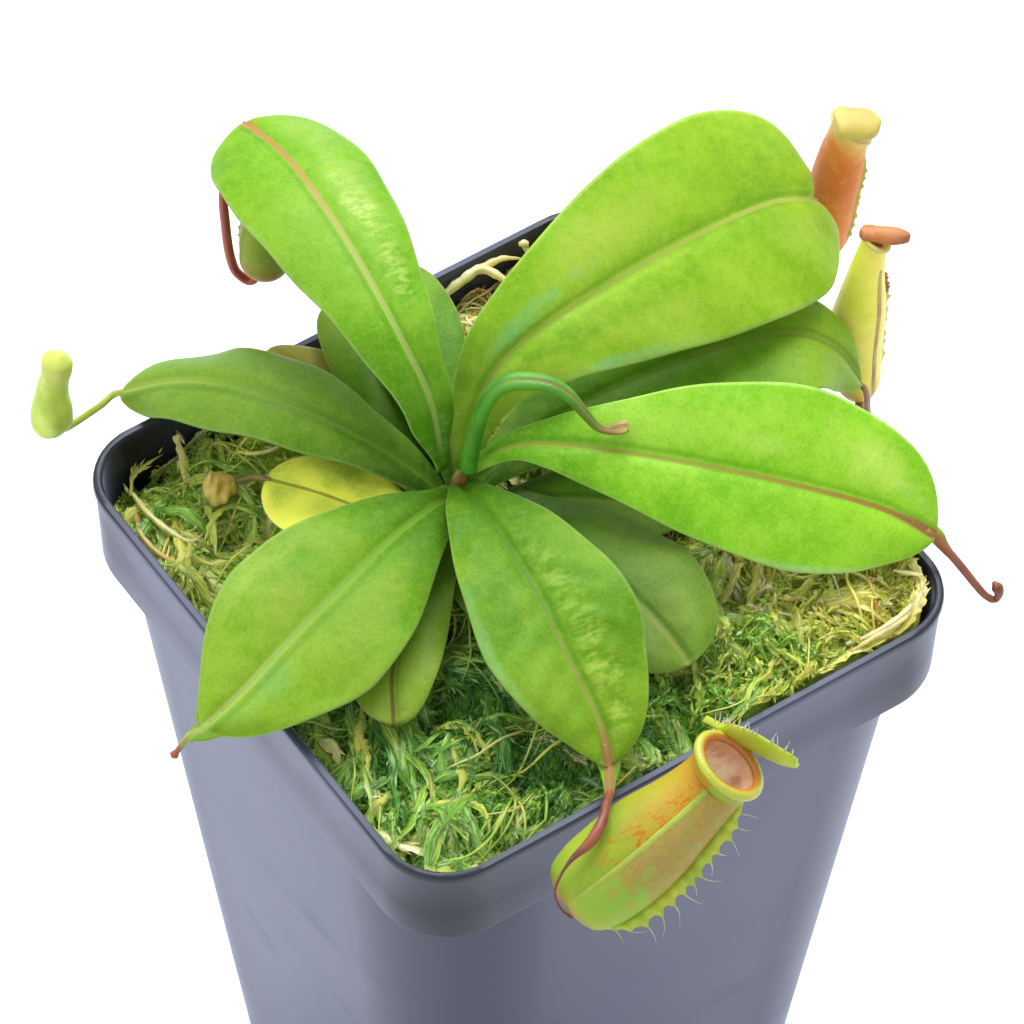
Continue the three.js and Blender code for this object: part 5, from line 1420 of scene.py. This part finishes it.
def makeLid(name, shape, cup, fringe, rng):
    lid = shape["lid"]
    one = np.ones(1)
    axis = cup.path.along(one)
    forward = crossFrame(axis, 0, shape["front"])[0]
    hinge = (cup.path.at(one) + (axis * shape["slant"] - forward) * cup.end)[0] + np.array(lid["offset"])
    along, across = unit(np.array(lid["along"], float)), np.array(lid["across"], float)
    across = unit(across - along * np.dot(across, along))
    over = np.cross(along, across)
    t, w = np.linspace(0, 1, 44), np.linspace(-1, 1, 19)
    broad = lid["half"] * np.sqrt(np.clip(1 - ((t - 0.58) / 0.44) ** 2, 0.004, 1))
    root = lid["root"] * np.maximum(rounded(t / 0.14), 0.245)
    half = np.maximum(root * smooth(t, 0.8, 0.5), broad * smooth(t, 0.1, 0.3))
    middle = hinge + along * (lid["reach"] * t)[:, None] + over * (0.25 * np.sin(t * 3.1))[:, None]
    flat = middle[:, None] + across * (half[:, None] * w)[..., None]
    arch = 0.45 * (1 - w ** 2) + 0.12 * np.sin(t * 9)[:, None] * w ** 2
    thick = lid["thick"] * np.sqrt(np.maximum(1 - w ** 4, 0.03))
    plate = Skin()
    plate.blade(flat, over, arch + thick, arch - thick, w, t)
    place(plate.build(name + "_lid"), name,
          plainFinish(name + "Lid", shape["colors"]["lid"], shape["colors"]["lidDeep"]))
    for _ in range(lid["hairs"]):
        i = int(rng.uniform(0.08, 0.98) * 43)
        turn = 1 if rng.random() < 0.6 else -1
        root = flat[i, 18 if turn > 0 else 0] + over * 0.2
        lean = across * turn * 0.5 + over * rng.uniform(0.5, 1.2) + along * rng.uniform(-0.2, 0.5)
        if lid["hangs"]:
            lean = over * rng.uniform(-1.2, -0.7) + across * turn * 0.3 + along * rng.uniform(-0.4, 0.3)
        hair(fringe, root, lean, rng.uniform(0.7, 1.9) * (1 if lid["hangs"] else 0.5), 0.12, rng)


def leafEnd(shape, more):
    # where a tendril leaves the tip of its leaf
    path = leafPath(shape["leaf"])
    tip, way = path.at(1.0), path.along(1.0)
    return [tip - way * 0.6, tip + way * more]


def makePitcher(name):
    shape = {**usualPitcher, **pitchers[name]}
    shape["lid"] = {**usualPitcher["lid"], **shape["lid"]}
    cup = Cup(shape)
    rng = np.random.default_rng(sum(ord(letter) for letter in name))
    makeCup(name, shape, cup)
    makeLip(name, shape, cup)
    fringe = Skin()
    for number, wing in enumerate(shape["wings"], 1):
        makeWing(name, shape, cup, wing, number, fringe, rng)
    makeLid(name, shape, cup, fringe, rng)
    place(fringe.build(name + "_hairs"), name,
          plainFinish(name + "Hairs", "eceade", "d8c8a0", 0.5, 0.74))
    thin = shape["tendrilThin"]
    makeTendril(name, shape, leafEnd(shape, shape["tendrilStart"]),
                lambda t: (0.35 + 0.55 * smooth(t, 0.0, 0.07) + 0.35 * smooth(t, 0.3, 0.55))
                * (1 - (1 - shape["tendrilEnd"]) * smooth(t, *thin)), 14, 120)


buds = {
    "pitcher_young": {
        "leaf": "leaf_left", "slot": "pitcher_bud",
        "axis": [(-41.7, 52.4, -4.4), (-41.6, 52.8, -1), (-41, 53.2, 3), (-40.2, 53.4, 7),
            (-39.6, 53.4, 10.4)],
        "outline": [(0, 1.4), (0.12, 2.6), (0.3, 2.9), (0.5, 2.35), (0.68, 2), (0.82, 2.15), (0.94, 1.9),
            (1, 1)],
        "front": (0.8, -0.6, 0),
        "tendril": [(-34.6, 51, -1.6), (-36.6, 51.4, -2.7), (-38.6, 51.7, -3.6), (-40.4, 52.1, -4.2),
            (-42, 52.4, -3.2)],
        "tendrilRadius": 0.5, "tendrilColors": ("c4dc50", "b4cc44"), "colors": ("d0e464", "b4d048"),
        "topColor": "e4ec70", "wrinkle": 1,
    },
    "pitcher_dried": {
        "leaf": "leaf_yellow", "slot": "pitcher_dry",
        "axis": [(-26.2, 29.6, -2), (-27.4, 30.2, -2.4), (-28.6, 30.8, -2.8), (-30.4, 31.7, -3)],
        "outline": [(0, 0.8), (0.3, 1.8), (0.6, 2.1), (0.85, 1.7), (1, 1)], "front": (0, 0, 1),
        "tendril": [(-25.6, 29.4, -1.9), (-27, 30, -2.2)], "tendrilRadius": 0.5,
        "tendrilColors": ("a08a3c", "7a6430"), "colors": ("ecd468", "c8ac48"), "topColor": "ecdc80",
        "wrinkle": 3.6,
    },
}


def makeBud(name):
    shape = buds[name]
    path = Path(overRim(shape["axis"]))
    s, angle = np.linspace(0, 1, 48), turns(36)
    cap = np.maximum(rounded(s / 0.08), 0.1414) * np.maximum(rounded((1 - s) / 0.1), 0.1414)
    side, normal = crossFrame(path.along(s), 0, shape["front"])
    row, fold = s[:, None], shape["wrinkle"]
    dent = (1 + 0.05 * fold * np.sin(3 * angle + 1) + 0.03 * fold * np.sin(5 * angle + 9 * row)
            + 0.025 * fold * np.sin(19 * row + 3 * angle))
    r = (outlineAt(shape["outline"], s) * cap)[:, None] * dent
    skin = Skin()
    skin.loft(spread(path.at(s), side, normal, r * np.cos(angle), r * np.sin(angle)),
              np.linspace(0, 1, 37), s)
    light, dark = [tint(c, 0.95) for c in shape["colors"]]
    f = Finish(name + "Skin", Subsurface_Weight=0.25, Subsurface_Scale=0.001)
    along = f.uv()[1]
    big, crumb, fine = f.grain(200, 3, 0.55), f.grain(600, 4, 0.6), f.grain(1600, 3, 0.6)
    color = f.layers(light, (f.within(big, 0.36, 0.64), dark),
                     (f.within(along, 0.62, 0.75, 0.7), shape["topColor"]),
                     (f.within(abs(along - 0.66), 0.04, 0.0, 0.4), dark),
                     (f.within(crumb, 0.48, 0.64, 0.3), shape["topColor"]),
                     (f.within(crumb, 0.48, 0.34, 0.3), dark))
    place(skin.build(name + "_bud"), name,
          f.wear(color, 0.4 + fine * 0.15, big * 0.5 + fine * 0.2, 0.0004, 0.4))
    makeTendril(name, shape, leafEnd(shape, 1.5), np.ones_like)


makeCamera()
makeStudio()
print("studio ready")
makePot()
print("pot made")
makeMossBed()
makeMossStrands()
makeStem()
print("moss and stem made")
for leafNumber, leafName in enumerate(leaves, 1):
    makeLeaf(leafName, leafNumber)
makeNewLeaf()
print("leaves made")
for pitcherName in pitchers:
    makePitcher(pitcherName)
for budName in buds:
    makeBud(budName)
print("pitchers made")
